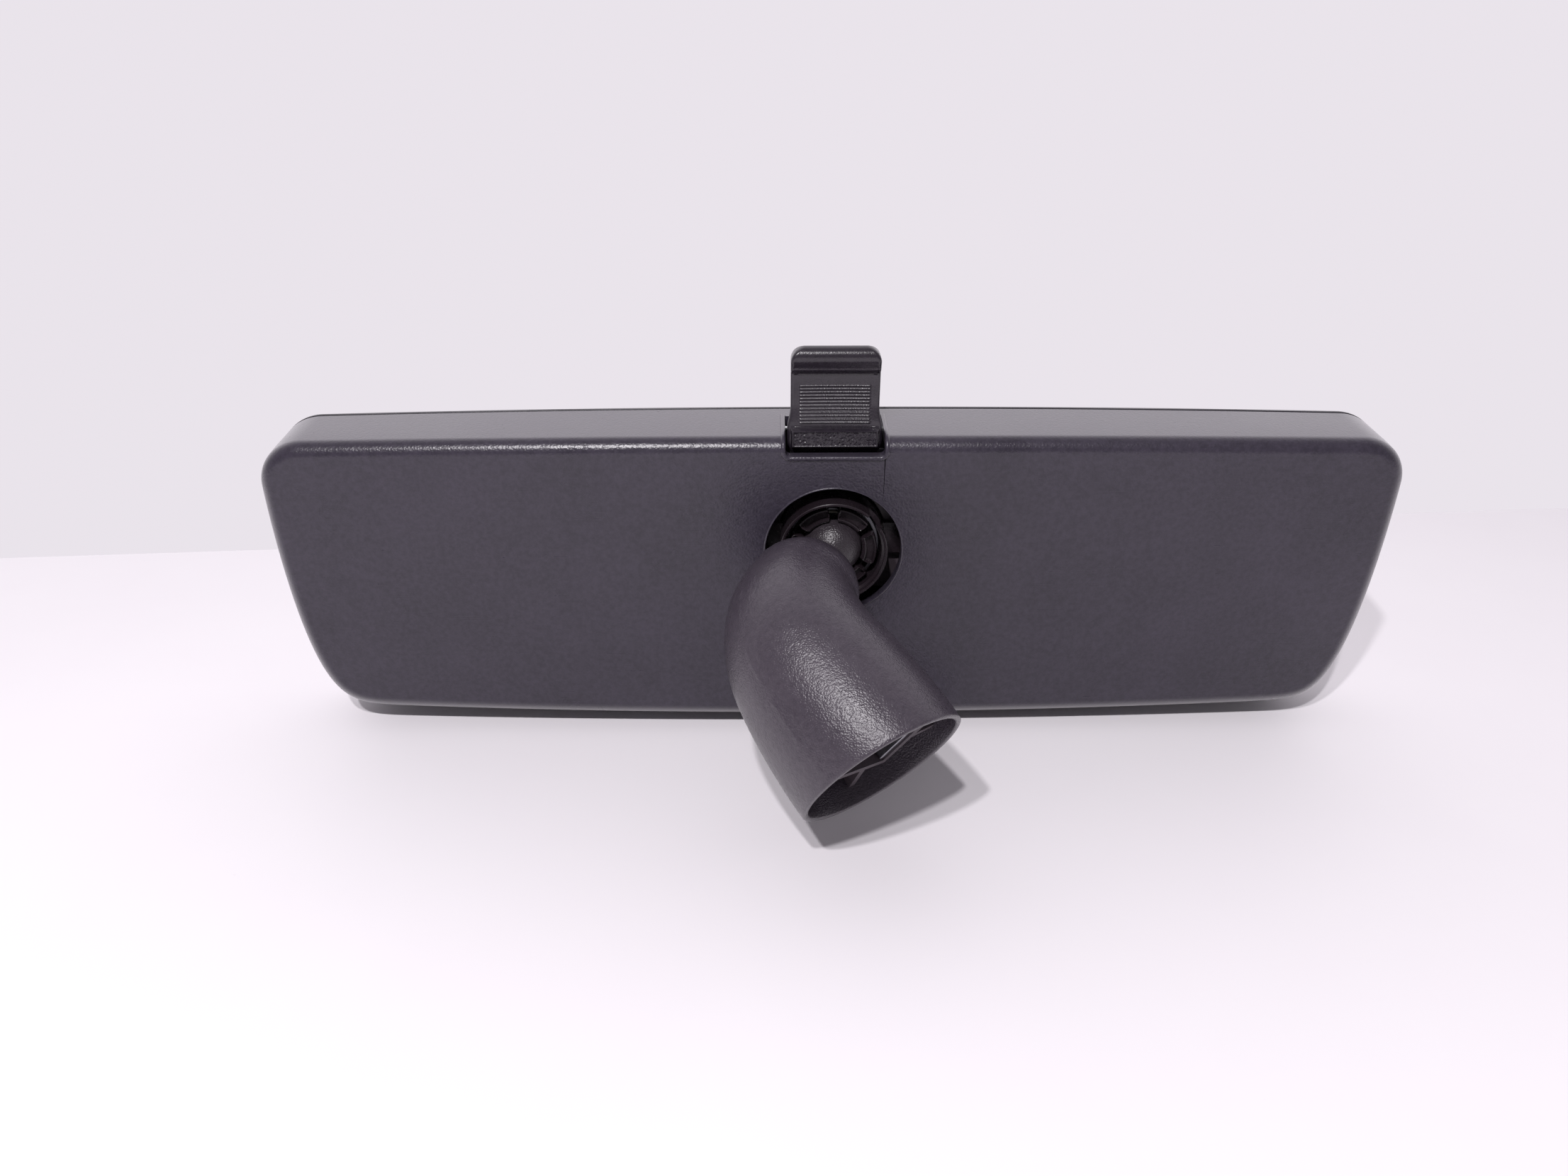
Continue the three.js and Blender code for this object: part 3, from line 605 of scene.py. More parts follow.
def pad_depth(x, z, behind):
    """The front y of the raised pad at the tab's foot: a smooth border round a rough field."""
    inside = min(PAD_HALF - abs(x), z - PAD_SPAN[0], PAD_SPAN[1] - z)
    if inside <= 0:
        return behind
    if inside < PAD_BORDER:
        across = 2 * inside / PAD_BORDER - 1
        drop = PAD_SINK if across > 0 else behind - PAD_FACE
        return PAD_FACE + drop * (1 - math.sqrt(1 - across**2))
    return PAD_FACE + PAD_SINK + PAD_ROUGHNESS * noise.noise(Vector((x, 0, z)) / 0.5)


def tab_section(z, columns=176):
    """One closed ring round the tab, with rounded upright edges."""
    half, (front, back) = tab_half_width(z), tab_depths(z)
    edge = min(TAB_EDGE, (back - front) * 0.45)
    ring = []
    for i in range(columns + 1):
        x = -half + edge + 2 * (half - edge) * i / columns
        dish = 0.25 * (1 - (x / half) ** 2) if 73 < z < 85 else 0.0
        lip_bow = 0.5 * max(0.0, abs(x) / half - 0.5) ** 2 if 84 < z < 86 else 0.0
        plain = front + dish + lip_bow - rib_height(x, z)
        ring.append(Vector((x, pad_depth(x, z, plain), z)))
    rest = arc((half - edge, front + edge), edge, 270, 360, 5)[1:]
    rest += arc((half - edge, back - edge), edge, 0, 90, 5)
    rest += arc((edge - half, back - edge), edge, 90, 180, 5)
    rest += arc((edge - half, front + edge), edge, 180, 270, 5)[:-1]
    return ring + [Vector((x, y, z)) for x, y in rest]


def dimming_lever():
    """The tab, its barrel round the lever's pin, and a crank with a pin at each side."""
    heights = list(np.arange(TAB_START, PAD_SPAN[0], 0.3))
    heights += list(np.arange(PAD_SPAN[0], RIB_LOW, 0.11))
    heights += list(np.arange(RIB_LOW, RIB_HIGH, RIB_PITCH / 10))
    heights += list(np.arange(RIB_HIGH, LIP_CENTRE[1], 0.2))
    heights += [LIP_CENTRE[1] + LIP_HALF * math.sin(a) for a in np.linspace(0, 1.53, 14)]
    lever = loft("dimming_tab", [tab_section(z) for z in heights])
    barrel = (-CHEEK[1], CHEEK[1])
    parts = [rod("barrel", LEVER_PIVOT, X_AXIS, barrel, BARREL_RADIUS, chamfer=0.3)]
    crank_arm = Vector((0, math.sin(LEVER_START), -math.cos(LEVER_START))) * CRANK_RADIUS
    crank = LEVER_PIVOT + crank_arm
    for side in (-1, 1):
        cheek = [side * x for x in CHEEK]
        web_side = Vector((0, crank_arm.z, -crank_arm.y)).normalized() * CRANK_END_RADIUS
        corners = [LEVER_PIVOT - web_side, LEVER_PIVOT + web_side, crank + web_side, crank - web_side]
        web = [[Vector((x, c.y, c.z)) for c in corners] for x in cheek]
        parts.append(loft("web", web))
        parts.append(rod("crank_end", crank, X_AXIS, cheek, CRANK_END_RADIUS))
        pin = (side * (CHEEK[1] - 1), side * (FORK_OUTER - 0.3))
        parts.append(rod("crank_pin", crank, X_AXIS, pin, CRANK_PIN_RADIUS, chamfer=0.2))
    boolean(lever, parts, "UNION")
    bore = rod("bore", LEVER_PIVOT, X_AXIS, (-POST[0], POST[0]), LEVER_PIN_RADIUS + GAP)
    return boolean(lever, [bore])


# ---- socket ----

FINGER_HALF_ANGLE = 23.5
FINGER_TOP = 9.5
FINGER_FACE = -0.9
FINGER_SINK = 1.1
FINGER_CORE = 8.1
SCREW_X = 16.5
LUG_RADIUS = 3.6
LUG_SPAN = (4.9, PLATE_FRONT - GAP)
RIM_THICKNESS = 0.62
NOTCH_ANGLE = 40
NOTCH_HALF = 1.9


def ball_point(radius, angle):
    """(radius, y) on a sphere about the ball, at an angle in degrees from straight out of the back."""
    a = math.radians(angle)
    return radius * math.sin(a), BALL.y - radius * math.cos(a)


def spoke(angle):
    """The direction out from the pocket's axis at an angle."""
    return X_AXIS * math.cos(angle) + Z_AXIS * math.sin(angle)


def finger(index):
    """One finger round the ball: a curved pad with a raised edge and rounded ends."""
    middle = math.radians(index * 360 / FINGERS)
    centre = Z_AXIS * POCKET_Z
    rings = []
    for share in np.sin(np.linspace(-math.pi / 2, math.pi / 2, 33)):
        end = max(0.0, (abs(share) - 0.86) / 0.14)
        keep = math.sqrt(max(0.0, 1 - end**2)) * 0.97 + 0.03
        sunk = FINGER_FACE + FINGER_SINK * min(1.0, max(0.0, (0.93 - abs(share)) / 0.05))
        profile = [ball_point(LIP_RADIUS, angle) for angle in (88, 83, 78, 74, 70)]
        profile += [(6.5, -0.65), (6.75, -0.85), (7.0, FINGER_FACE), (7.2, -0.85)]
        profile += [(7.3, sunk), (FINGER_TOP - 0.6, sunk)]
        profile += [(FINGER_TOP - 0.5, -0.85), (FINGER_TOP - 0.35, -0.95), (FINGER_TOP - 0.12, -0.85)]
        profile += [(FINGER_TOP, -0.6), (FINGER_TOP, 1.2), (FINGER_OUTER, 1.8)]
        profile += [(FINGER_OUTER, GROOVE_FLOOR + 0.3), (8.2, GROOVE_FLOOR + 0.3)]
        out = spoke(middle + math.radians(FINGER_HALF_ANGLE) * share)
        ring = []
        for radius, y in profile:
            kept = FINGER_CORE + (radius - FINGER_CORE) * keep
            ring.append(centre + out * kept + Y_AXIS * y)
        rings.append(ring)
    return loft("finger", rings)


def socket_cup():
    """The cup with its thin notched rim, six fingers and two screw lugs."""
    rim = CUP_FRONT
    profile = [
        (CUP_RADIUS, rim + 0.15),
        (CUP_RADIUS, CUP_REAR),
        (4, CUP_REAR),
        *[ball_point(CUP_CAVITY_RADIUS, angle) for angle in np.linspace(150, 100, 14)],
        (CUP_CAVITY_RADIUS, GROOVE_FLOOR),
        (CUP_RIM_INNER, GROOVE_FLOOR),
        (CUP_RIM_INNER, rim + 1.6),
        (CUP_RADIUS - RIM_THICKNESS, rim + 1.2),
        (CUP_RADIUS - RIM_THICKNESS, rim + 0.15),
        (CUP_RADIUS - 0.5, rim),
        (CUP_RADIUS - 0.15, rim),
    ]
    cup = band("ball_socket", turned(profile))
    parts = [finger(i) for i in range(FINGERS)]
    holes = []
    for side in (-1, 1):
        lug = Vector((side * SCREW_X, 0, BALL.z))
        parts.append(rod("lug", lug, Y_AXIS, LUG_SPAN, LUG_RADIUS))
        span = sorted((side * 10.8, side * SCREW_X))
        parts.append(block("lug_arm", span, LUG_SPAN, (BALL.z - LUG_RADIUS, BALL.z + LUG_RADIUS)))
        holes.append(rod("hole", lug, Y_AXIS, (3, 8), SCREW_BORE_RADIUS))
    boolean(cup, parts, "UNION")
    out = spoke(math.radians(NOTCH_ANGLE))
    side = spoke(math.radians(NOTCH_ANGLE + 90))
    corners = [(9.8, -NOTCH_HALF), (13, -NOTCH_HALF), (13, NOTCH_HALF), (9.8, NOTCH_HALF)]
    cutter = [
        [Vector((0, y, POCKET_Z)) + out * u + side * v for u, v in corners] for y in (rim, 1.6)
    ]
    return boolean(cup, [loft("rim_notch", cutter), *holes])


# ---- arm ----

ARM_SIDES = 264
ARM_ROWS = 120
DOME_ROWS = 44
DOME_END = math.asin(DOME_CUT / DOME_RADIUS)
SMOOTHING_PASSES = 60
GRAIN_SIZE = 0.62
GRAIN_HEIGHT = 0.07
SEAM_ANGLE = math.radians(171)
SEAM_WIDTH = 0.016
SEAM_HEIGHT = 0.16
BOSS_LENGTH = 8

# The stud's direction out of the ball, the way its arm bends, and the direction square to both.
stud = Vector((
    math.sin(STUD_YAW) * math.cos(STUD_DROP),
    -math.cos(STUD_YAW) * math.cos(STUD_DROP),
    -math.sin(STUD_DROP),
))
stud_down = (stud * stud.z - Z_AXIS).normalized()
stud_side = stud.cross(stud_down)
bend = stud_down * math.cos(BEND_ROLL) + stud_side * math.sin(BEND_ROLL)
across = stud.cross(bend)
elbow = BALL + stud * STUD_LENGTH
ARM_END = STUD_LENGTH - DOME_CUT


def turned_by(angle):
    """The stud's direction, turned by an angle the way the arm bends."""
    return stud * math.cos(angle) + bend * math.sin(angle)


def arm_station(u):
    """Centre, section directions, axis and radii of the arm at share u of the way to the mouth."""
    angle = BEND_ANGLE * min(1.0, u / BEND_SHARE)
    radius = BODY_LENGTH * BEND_SHARE / BEND_ANGLE
    centre = elbow + stud * (radius * math.sin(angle)) + bend * (radius * (1 - math.cos(angle)))
    if u > BEND_SHARE:
        centre += turned_by(angle) * ((u - BEND_SHARE) * BODY_LENGTH)
    tilt = angle + MOUTH_TILT * u * u
    radii = [
        (1 - u) ** 2 * DOME_RADIUS + 2 * u * (1 - u) * waist + u * u * mouth
        for waist, mouth in zip(WAIST_RADII, MOUTH_RADII)
    ]
    return centre, turned_by(tilt + math.pi / 2), turned_by(tilt), radii


def arm_ring(u, inset, push=0.0):
    """A ring of the arm's body, moved in from its outside and pushed along its axis."""
    centre, major, axis, radii = arm_station(u)
    return ellipse(centre + axis * push, major, across, [r - inset for r in radii], ARM_SIDES)


def dome_ring(radius, angle):
    """A ring of a dome about the elbow, at an angle back from its widest ring."""
    centre = elbow - stud * (radius * math.sin(angle))
    return circle(centre, bend, across, radius * math.cos(angle), ARM_SIDES)


def stud_ring(radius, distance, sides=ARM_SIDES):
    """A ring round the stud's axis, at a distance from the ball's centre."""
    return circle(BALL + stud * distance, bend, across, radius, sides)


def grain(point, size, height):
    """Height of a moulded grain at a point: rounded lands with narrow valleys between them."""
    distances, _ = noise.voronoi(Vector(point) / size)
    return height * (min(1.0, (distances[1] - distances[0]) * 2.2) - 0.5)


def arm_outside():
    """The grained outside of the arm, from its flat end over the dome to the mouth's rim."""
    rings = [dome_ring(DOME_RADIUS, DOME_END * (1 - i / DOME_ROWS)) for i in range(DOME_ROWS)]
    rings += [arm_ring(i / ARM_ROWS, 0) for i in range(ARM_ROWS + 1)]
    points = np.array([[tuple(p) for p in ring] for ring in rings])
    for _ in range(SMOOTHING_PASSES):
        points[1:-1] = (points[:-2] + 2 * points[1:-1] + points[2:]) / 4
    around = np.roll(points, -1, axis=1) - np.roll(points, 1, axis=1)
    normals = np.cross(around, np.gradient(points, axis=0))
    normals /= np.linalg.norm(normals, axis=2)[:, :, None]
    outward = points - points.mean(axis=1, keepdims=True)
    if (normals * outward).sum() < 0:
        normals = -normals
    heights = np.zeros(points.shape[:2])
    for r in range(len(points)):
        fade = min(1.0, r / 6, (len(points) - 1 - r) / 4)
        for i in range(ARM_SIDES):
            angle = 2 * math.pi * i / ARM_SIDES
            seam = SEAM_HEIGHT * math.exp(-(((angle - SEAM_ANGLE) / SEAM_WIDTH) ** 2))
            seam *= 0.5 + noise.noise(Vector(points[r, i]) / 1.4)
            heights[r, i] = fade * (grain(points[r, i], GRAIN_SIZE, GRAIN_HEIGHT) + seam)
    points += normals * heights[:, :, None]
    return [[Vector(p) for p in ring] for ring in points]


def arm_shell():
    """The hollow arm: its outside, its rim, its inside and the boss round the stud's shank."""
    bore, boss = SHANK_RADIUS + GAP, SHANK_RADIUS + GAP + 2
    flat_radius = DOME_RADIUS * math.cos(DOME_END)
    rings = [stud_ring(bore, ARM_END), stud_ring(flat_radius - 0.35, ARM_END)]
    rings += arm_outside()
    rings += [arm_ring(1, 0.1, 0.22), arm_ring(1, 0.35, 0.35), arm_ring(1, RIM_WALL - 0.35, 0.35)]
    rings += [arm_ring(1, RIM_WALL - 0.08, 0.2), arm_ring(1, RIM_WALL, 0)]
    for u in np.linspace(1, 0, 31)[1:]:
        rings.append(arm_ring(u, blend(u, [(0.8, ARM_WALL), (1, RIM_WALL)])))
    inner = DOME_RADIUS - ARM_WALL
    inner_end = math.asin((DOME_CUT - ARM_WALL) / inner)
    rings += [dome_ring(inner, inner_end * i / 6) for i in range(1, 7)]
    boss_end = ARM_END + BOSS_LENGTH
    rings += [stud_ring(boss, ARM_END + ARM_WALL), stud_ring(boss, boss_end - 0.3)]
    rings += [stud_ring(boss - 0.3, boss_end), stud_ring(bore, boss_end)]
    return band("arm_tube", rings)


def ball_stud():
    """The ball, its neck, a shoulder against the arm and the shank through it."""
    neck_angle = math.asin(NECK_RADIUS / BALL_RADIUS)
    profile = []
    for angle in np.linspace(math.pi - 0.02, neck_angle + 0.1, 60):
        profile.append((BALL_RADIUS * math.sin(angle), BALL_RADIUS * math.cos(angle)))
    shoulder = ARM_END - GAP
    profile += [
        (NECK_RADIUS + 0.12, BALL_RADIUS * math.cos(neck_angle) + 0.2),
        (NECK_RADIUS, BALL_RADIUS * math.cos(neck_angle) + 0.7),
        (NECK_RADIUS, shoulder - 4),
        (NECK_RADIUS + 0.3, shoulder - 2.6),
        (NECK_RADIUS + 1.1, shoulder - 1.6),
        (NECK_RADIUS + 1.9, shoulder - 1.15),
        (NECK_RADIUS + 2, shoulder - 1),
        (NECK_RADIUS + 2, shoulder),
        (SHANK_RADIUS, shoulder),
        (SHANK_RADIUS, ARM_END + 10),
        (SHANK_RADIUS - 0.6, ARM_END + 10.6),
    ]
    return loft("ball_pin", [stud_ring(radius, distance, sides=120) for radius, distance in profile])


# ---- materials ----


class Shader:
    """A material whose nodes are placed by name and size, in millimetres on the object."""

    def __init__(self, name):
        self.material = bpy.data.materials.new(name)
        self.material.use_nodes = True
        self.tree = self.material.node_tree
        self.surface = self.tree.nodes["Principled BSDF"]
        self.place = self.add("ShaderNodeTexCoord").outputs["Object"]

    def add(self, kind, settings=None, **inputs):
        node = self.tree.nodes.new(kind)
        for key, value in (settings or {}).items():
            setattr(node, key, value)
        for key, value in inputs.items():
            self.put(node.inputs[key.replace("_", " ")], value)
        return node

    def put(self, socket, value):
        if isinstance(value, bpy.types.NodeSocket):
            self.tree.links.new(value, socket)
        else:
            socket.default_value = value

    def stretched(self, stretch):
        """The object's own coordinates, squeezed along each axis."""
        return self.add("ShaderNodeMapping", Vector=self.place, Scale=stretch).outputs["Vector"]

    def noise(self, size, detail=2.0, roughness=0.5, stretch=None):
        place = self.stretched(stretch) if stretch else self.place
        node = self.add("ShaderNodeTexNoise", Vector=place, Scale=1 / (size * MM), Detail=detail)
        node.inputs["Roughness"].default_value = roughness
        return node.outputs["Fac"]

    def cells(self, size, feature="F1"):
        settings = {"feature": feature}
        node = self.add("ShaderNodeTexVoronoi", settings, Vector=self.place, Scale=1 / (size * MM))
        return node.outputs["Distance"]

    def spread(self, value, low, high, start, end):
        """Maps a value from low..high to start..end, held at both ends."""
        node = self.add("ShaderNodeMapRange", Value=value)
        for key, number in (("From Min", low), ("From Max", high), ("To Min", start), ("To Max", end)):
            node.inputs[key].default_value = number
        return node.outputs["Result"]

    def sum(self, first, second, operation="ADD"):
        node = self.add("ShaderNodeMath", {"operation": operation})
        self.put(node.inputs[0], first)
        self.put(node.inputs[1], second)
        return node.outputs["Value"]

    def between(self, factor, first, second):
        node = self.add("ShaderNodeMix", {"data_type": "RGBA"})
        self.put(node.inputs["Factor"], factor)
        self.put(node.inputs[6], (*first, 1))
        self.put(node.inputs[7], (*second, 1))
        return node.outputs[2]

    def bump(self, height, depth, strength=1.0, under=None):
        node = self.add("ShaderNodeBump", Height=height, Strength=strength, Distance=depth * MM)
        if under is not None:
            self.put(node.inputs["Normal"], under)
        return node.outputs["Normal"]

    def surface_is(self, **inputs):
        for key, value in inputs.items():
            self.put(self.surface.inputs[key.replace("_", " ")], value)
        return self.material


def moulded_plastic(name, dark, light, roughness, grain, specular=0.5, film=0.0):
    """Black moulded plastic: spark-eroded grain, mottled cloudy sheen, rubbed scratches and dust.

    The grain is a size and a depth in millimetres; the film is a greasy shine at grazing angles.
    """
    s = Shader(name)
    size, depth = grain
    clouds = s.noise(22, detail=4, roughness=0.6)
    mottle = s.noise(1.1, detail=3, roughness=0.7)
    dust = s.spread(s.noise(0.7, detail=1), 0.76, 0.79, 0, 0.3)
    tone = s.sum(s.spread(clouds, 0.3, 0.7, 0.0, 0.45), s.spread(mottle, 0.34, 0.66, 0, 0.55))
    scratches = s.noise(0.5, detail=1, stretch=(0.03, 1, 1))
    rubbed = s.spread(scratches, 0.68, 0.72, 0, 0.025)
    rough = s.spread(clouds, 0.3, 0.7, roughness - 0.04, roughness + 0.05)
    rough = s.sum(s.sum(rough, rubbed, "SUBTRACT"), dust)
    lands = s.spread(s.cells(size, "SMOOTH_F1"), 0.1, 0.75, 1, 0)
    coarse = s.bump(lands, depth)
    fine = s.bump(s.noise(size * 0.4, detail=3, roughness=0.6), depth * 0.5, under=coarse)
    grazing = s.add("ShaderNodeLayerWeight").outputs["Facing"]
    return s.surface_is(
        Base_Color=s.between(tone, dark, light),
        Roughness=rough,
        Specular_IOR_Level=s.spread(grazing, 0.2, 0.5, specular, 1.0),
        Coat_Weight=s.spread(grazing, 0.3, 0.55, 0.0, film),
        Coat_Roughness=0.35,
        Normal=fine,
    )


def smooth_plastic(name, dark, light, roughness):
    """Smoother moulded plastic of the inner pieces, with flow marks and a light sheen."""
    s = Shader(name)
    flow = s.noise(6, detail=3, roughness=0.6)
    marks = s.noise(0.8, detail=2, stretch=(1, 0.15, 1))
    rough = s.sum(s.spread(flow, 0.3, 0.7, roughness - 0.08, roughness + 0.08),
                  s.spread(marks, 0.6, 0.75, 0, 0.08))
    normal = s.bump(s.noise(0.25, detail=3), 0.008)
    return s.surface_is(Base_Color=s.between(flow, dark, light), Roughness=rough, Normal=normal)


def bare_metal(name, dark, light, roughness, stretch):
    """Bare metal with fine drawn lines, stains and handling marks."""
    s = Shader(name)
    stains = s.noise(4, detail=4, roughness=0.65)
    lines = s.noise(0.12, detail=2, stretch=stretch)
    rough = s.sum(s.spread(stains, 0.3, 0.7, roughness - 0.07, roughness + 0.12),
                  s.spread(lines, 0.4, 0.6, -0.04, 0.04))
    normal = s.bump(lines, 0.006)
    return s.surface_is(
        Base_Color=s.between(stains, dark, light), Metallic=1.0, Roughness=rough, Normal=normal
    )


def wedge_glass():
    s = Shader("glass")
    film = s.noise(14, detail=5, roughness=0.65)
    wiped = s.noise(1.5, detail=2, stretch=(0.08, 1, 1))
    rough = s.sum(s.spread(film, 0.45, 0.75, 0.0, 0.05), s.spread(wiped, 0.6, 0.75, 0, 0.03))
    return s.surface_is(
        Base_Color=s.between(film, (0.95, 0.98, 0.97), (0.9, 0.95, 0.94)),
        Roughness=rough,
        IOR=1.52,
        Transmission_Weight=1.0,
    )


def silvering():
    s = Shader("silvering")
    age = s.noise(9, detail=5, roughness=0.7)
    pits = s.spread(s.cells(0.9), 0.03, 0.06, 0.25, 0.0)
    rough = s.sum(s.spread(age, 0.4, 0.7, 0.02, 0.06), pits)
    return s.surface_is(
        Base_Color=s.between(age, (0.88, 0.89, 0.88), (0.8, 0.81, 0.79)), Metallic=1.0, Roughness=rough
    )


def soft_black(name, dark, light, cell, depth, roughness):
    """Rubber or foam: open cells and a dull, slightly dusty face."""
    s = Shader(name)
    pores = s.cells(cell)
    bloom = s.noise(3, detail=4, roughness=0.6)
    normal = s.bump(pores, depth)
    return s.surface_is(
        Base_Color=s.between(bloom, dark, light),
        Roughness=s.spread(bloom, 0.3, 0.7, roughness - 0.08, roughness + 0.05),
        Sheen_Weight=0.15,
        Normal=normal,
    )


materials = {
    "housing_plastic": moulded_plastic(
        "housing_plastic", (0.022, 0.0185, 0.028), (0.045, 0.038, 0.056), 0.3, (0.45, 0.03),
        specular=0.5, film=0.9),
    "bezel_plastic": moulded_plastic(
        "bezel_plastic", (0.012, 0.010, 0.015), (0.022, 0.019, 0.026), 0.36, (0.3, 0.01)),
    "arm_plastic": moulded_plastic(
        "arm_plastic", (0.036, 0.029, 0.040), (0.064, 0.053, 0.068), 0.29, (0.32, 0.05),
        specular=0.55),
    "lever_plastic": moulded_plastic(
        "lever_plastic", (0.012, 0.009, 0.014), (0.024, 0.019, 0.027), 0.25, (0.3, 0.012),
        specular=0.6),
    "inner_plastic": smooth_plastic(
        "inner_plastic", (0.06, 0.048, 0.058), (0.09, 0.074, 0.086), 0.42),
    "socket_plastic": smooth_plastic(
        "socket_plastic", (0.012, 0.008, 0.011), (0.024, 0.018, 0.022), 0.24),
    "acetal": smooth_plastic("acetal", (0.62, 0.59, 0.5), (0.72, 0.69, 0.6), 0.38),
    "diecast": moulded_plastic(
        "diecast", (0.024, 0.019, 0.024), (0.042, 0.035, 0.041), 0.3, (0.32, 0.06), specular=0.5),
    "steel": bare_metal("steel", (0.5, 0.5, 0.51), (0.62, 0.62, 0.63), 0.3, (0.1, 1, 1)),
    "spring_steel": bare_metal(
        "spring_steel", (0.3, 0.3, 0.33), (0.42, 0.42, 0.45), 0.34, (0.1, 1, 1)),
    "glass": wedge_glass(),
    "silvering": silvering(),
    "rubber": soft_black("rubber", (0.016, 0.016, 0.016), (0.03, 0.03, 0.03), 0.3, 0.02, 0.82),
    "foam": soft_black("foam", (0.03, 0.031, 0.033), (0.06, 0.061, 0.064), 0.55, 0.12, 0.92),
}

# ---- pieces ----

housing = rear_housing()
finish_piece(housing, "head", "housing_plastic", materials["housing_plastic"], "rear_housing")
evened = housing.modifiers.new("evened", "WEIGHTED_NORMAL")
evened.keep_sharp = True
finish_piece(front_bezel(), "head", "bezel_plastic", materials["bezel_plastic"], "front_bezel")
finish_piece(mirror_glass(), "head", "glass", materials["glass"], "mirror_glass")
silvered = mirror_backing()
finish_piece(silvered, "head", "silvering", materials["silvering"], "mirror_backing")
paint_rear(silvered, materials["rubber"])
finish_piece(dimming_lever(), "lever", "lever_plastic", materials["lever_plastic"], "dimming_lever")
finish_piece(socket_cup(), "bracket", "socket_plastic", materials["socket_plastic"], "socket_cup")
finish_piece(ball_stud(), "arm", "diecast", materials["diecast"], "ball_stud")
finish_piece(arm_shell(), "arm", "arm_plastic", materials["arm_plastic"], "arm_shell", angle=60)

# The CAD's own pieces that are shown as they are, with their finishes.
CARRIED = {
    "ball_seat": "acetal",
    "friction_washer": "spring_steel",
    "swivel_bracket": "inner_plastic",
    "clamp_ring": "spring_steel",
    "bracket_screw_left": "steel",
    "bracket_screw_right": "steel",
    "stop_buffer_left": "rubber",
    "stop_buffer_right": "rubber",
    "foam_pad_1": "foam",
    "foam_pad_2": "foam",
    "foam_pad_3": "foam",
    "foam_pad_4": "foam",
    "pivot_pin_left": "steel",
    "pivot_pin_right": "steel",
    "pin_cap_left": "inner_plastic",
    "pin_cap_right": "inner_plastic",
    "lever_pin": "steel",
    "detent_spring": "spring_steel",
    "spring_screw": "steel",
    "stud_retainer": "spring_steel",
    "foot_insert": "inner_plastic",
    "windscreen_clip": "spring_steel",
}
WELD_DISTANCE = 0.002
ROUNDING = 0.12

for node, finish in CARRIED.items():
    carried = frame["nodes"][node]
    carried.data.materials.clear()
    carried.data.materials.append(materials[finish])
    weld = carried.modifiers.new("weld", "WELD")
    weld.merge_threshold = WELD_DISTANCE * MM
    rounding = carried.modifiers.new("rounding", "BEVEL")
    rounding.width = ROUNDING * MM
    rounding.segments = 2
    rounding.limit_method = "ANGLE"
    rounding.angle_limit = math.radians(35)

# ---- stage ----

WALL_BASE = [Vector((-245, 89, 0)), Vector((243, 121, 0))]
FLOOR_REACH = 2500
FLOOR_DROP = 0.05
FLOOR_UNDERSIDE = 6

LAMP_COLOUR = (1.0, 0.965, 1.0)
LAMP_SIZE = 30
ROOM_COLOUR = (0.82, 0.775, 0.83)
# The room's light rises from the first strength to the second as a direction's y does.
ROOM_TURN = (-0.2, 0.75)
ROOM_LIGHT = (0.28, 1.25)

CAMERA_PLACE = (-12.62, -234.46, 160.83)
CAMERA_PITCH = math.radians(28)
CAMERA_YAW = math.radians(-0.5)
CAMERA_LENS = 27.67


def pale_floor():
    """A plain pale table top that ends where the wall behind it starts."""
    left, right = WALL_BASE
    run = (right - left).normalized()
    front = Vector((0, -FLOOR_REACH, 0))
    back = [left - run * FLOOR_REACH, right + run * FLOOR_REACH]
    corners = [back[0], back[1], back[1] + front, back[0] + front]
    top = [c - Z_AXIS * FLOOR_DROP for c in corners]
    bottom = [c - Z_AXIS * FLOOR_UNDERSIDE for c in corners]
    floor = loft("floor", [bottom, top])
    s = Shader("floor")
    clouds = s.noise(120, detail=4, roughness=0.6)
    specks = s.spread(s.noise(3, detail=2), 0.77, 0.8, 0, 0.5)
    rough = s.spread(clouds, 0.3, 0.7, 0.5, 0.65)
    tone = s.sum(s.spread(clouds, 0.3, 0.7, 0.0, 0.5), specks)
    s.surface_is(
        Base_Color=s.between(tone, (0.93, 0.91, 0.93), (0.88, 0.85, 0.88)), Roughness=rough
    )
    floor.data.materials.append(s.material)


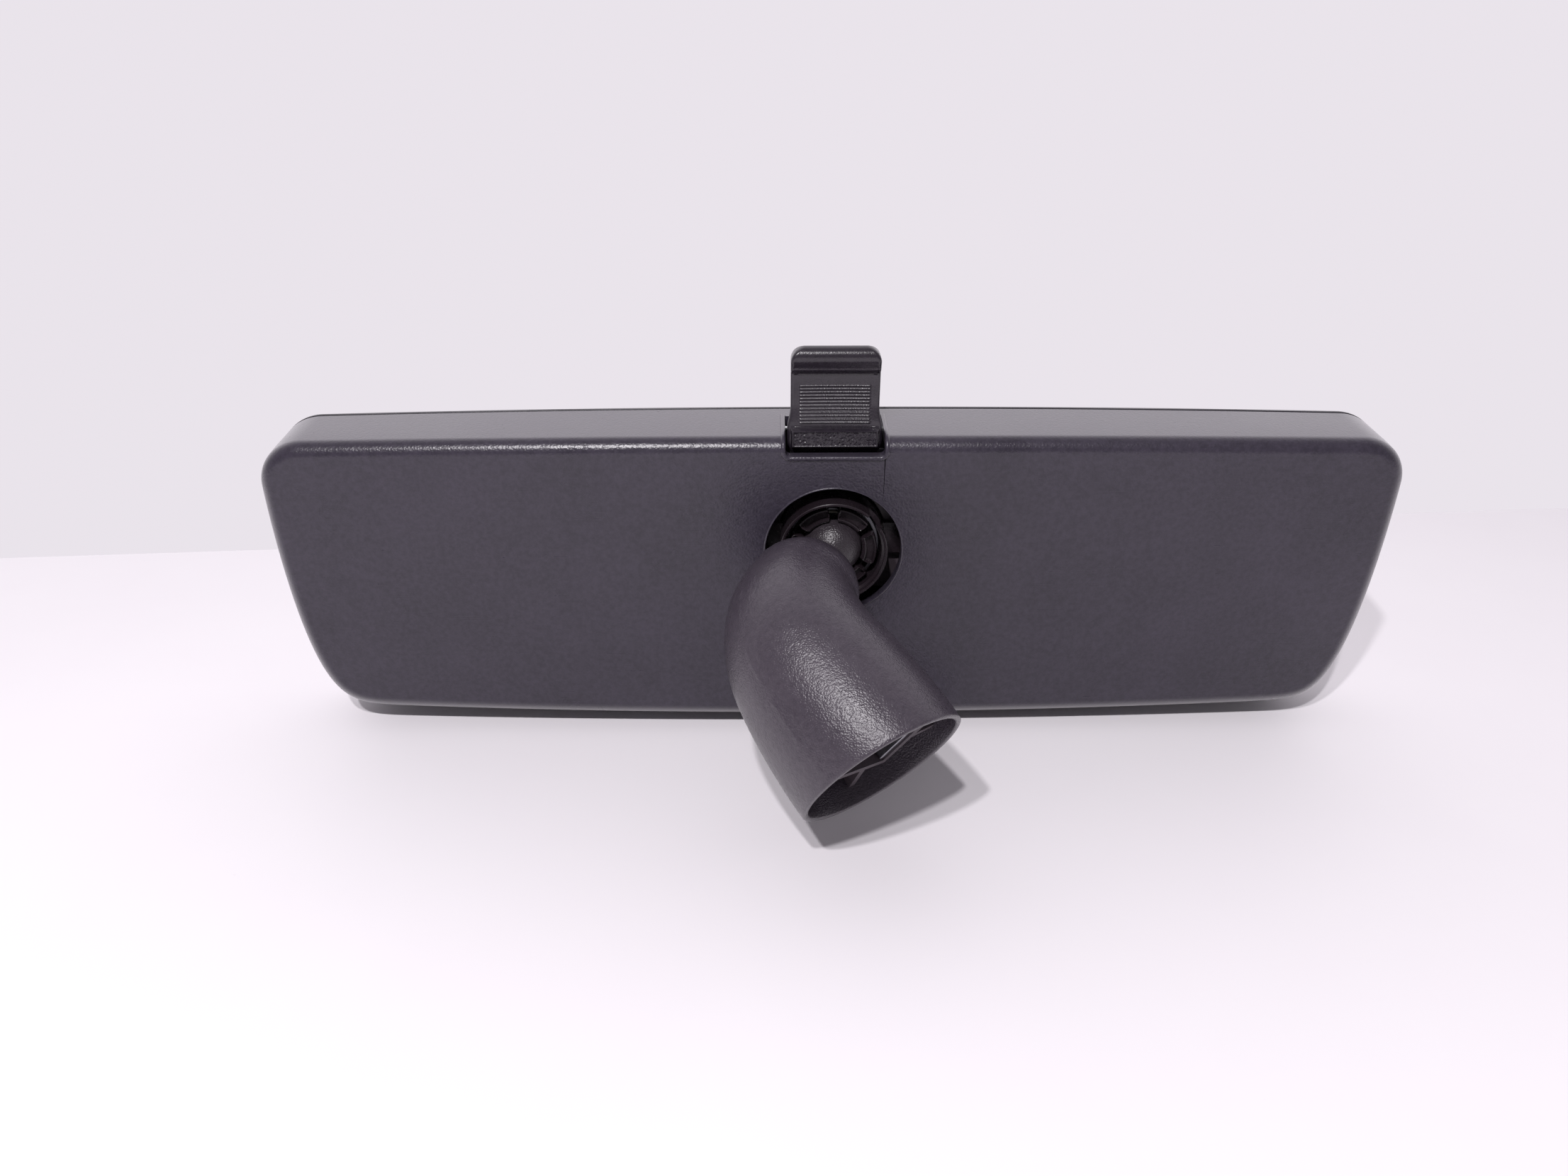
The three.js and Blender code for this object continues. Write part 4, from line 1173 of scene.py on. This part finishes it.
def soft_light(name, place, power):
    """A round lamp at a place in the head's own frame, aimed at the middle of the head."""
    data = bpy.data.lights.new(name, "AREA")
    data.shape = "DISK"
    data.size = LAMP_SIZE * MM
    data.energy = power
    data.color = LAMP_COLOUR
    lamp = bpy.data.objects.new(name, data)
    bpy.context.scene.collection.objects.link(lamp)
    lamp.location = to_row(place)
    away = Vector(place) - Z_AXIS * MID_HEIGHT
    lamp.rotation_euler = away.to_track_quat("Z", "Y").to_euler()


def surroundings():
    """A pale room: evenly pale to look at, and darker on the camera's side as a source of light."""
    world = bpy.data.worlds.new("surroundings")
    world.use_nodes = True
    nodes, links = world.node_tree.nodes, world.node_tree.links
    place = nodes.new("ShaderNodeTexCoord")
    axes = nodes.new("ShaderNodeSeparateXYZ")
    links.new(place.outputs["Generated"], axes.inputs["Vector"])
    depth = nodes.new("ShaderNodeMapRange")
    links.new(axes.outputs["Y"], depth.inputs["Value"])
    depth.inputs["From Min"].default_value, depth.inputs["From Max"].default_value = ROOM_TURN
    depth.inputs["To Min"].default_value, depth.inputs["To Max"].default_value = ROOM_LIGHT
    seen = nodes.new("ShaderNodeLightPath")
    strength = nodes.new("ShaderNodeMix")
    links.new(seen.outputs["Is Camera Ray"], strength.inputs["Factor"])
    links.new(depth.outputs["Result"], strength.inputs["A"])
    strength.inputs["B"].default_value = 1
    background = nodes["Background"]
    background.inputs["Color"].default_value = (*ROOM_COLOUR, 1)
    links.new(strength.outputs["Result"], background.inputs["Strength"])
    bpy.context.scene.world = world


def camera():
    """A camera in front of the head's back, looking down on it."""
    data = bpy.data.cameras.new("camera")
    data.sensor_width = 36
    data.lens = CAMERA_LENS
    data.clip_start, data.clip_end = 0.01, 50
    made = bpy.data.objects.new("camera", data)
    bpy.context.scene.collection.objects.link(made)
    made.location = to_row(CAMERA_PLACE)
    made.rotation_euler = (math.pi / 2 - CAMERA_PITCH, 0, CAMERA_YAW)
    bpy.context.scene.camera = made


pale_floor()
soft_light("key", (-210, -490, 700), 2.8)
soft_light("fill", (-105, -505, 700), 2.9)
surroundings()
camera()
bpy.context.scene.view_settings.view_transform = "Standard"
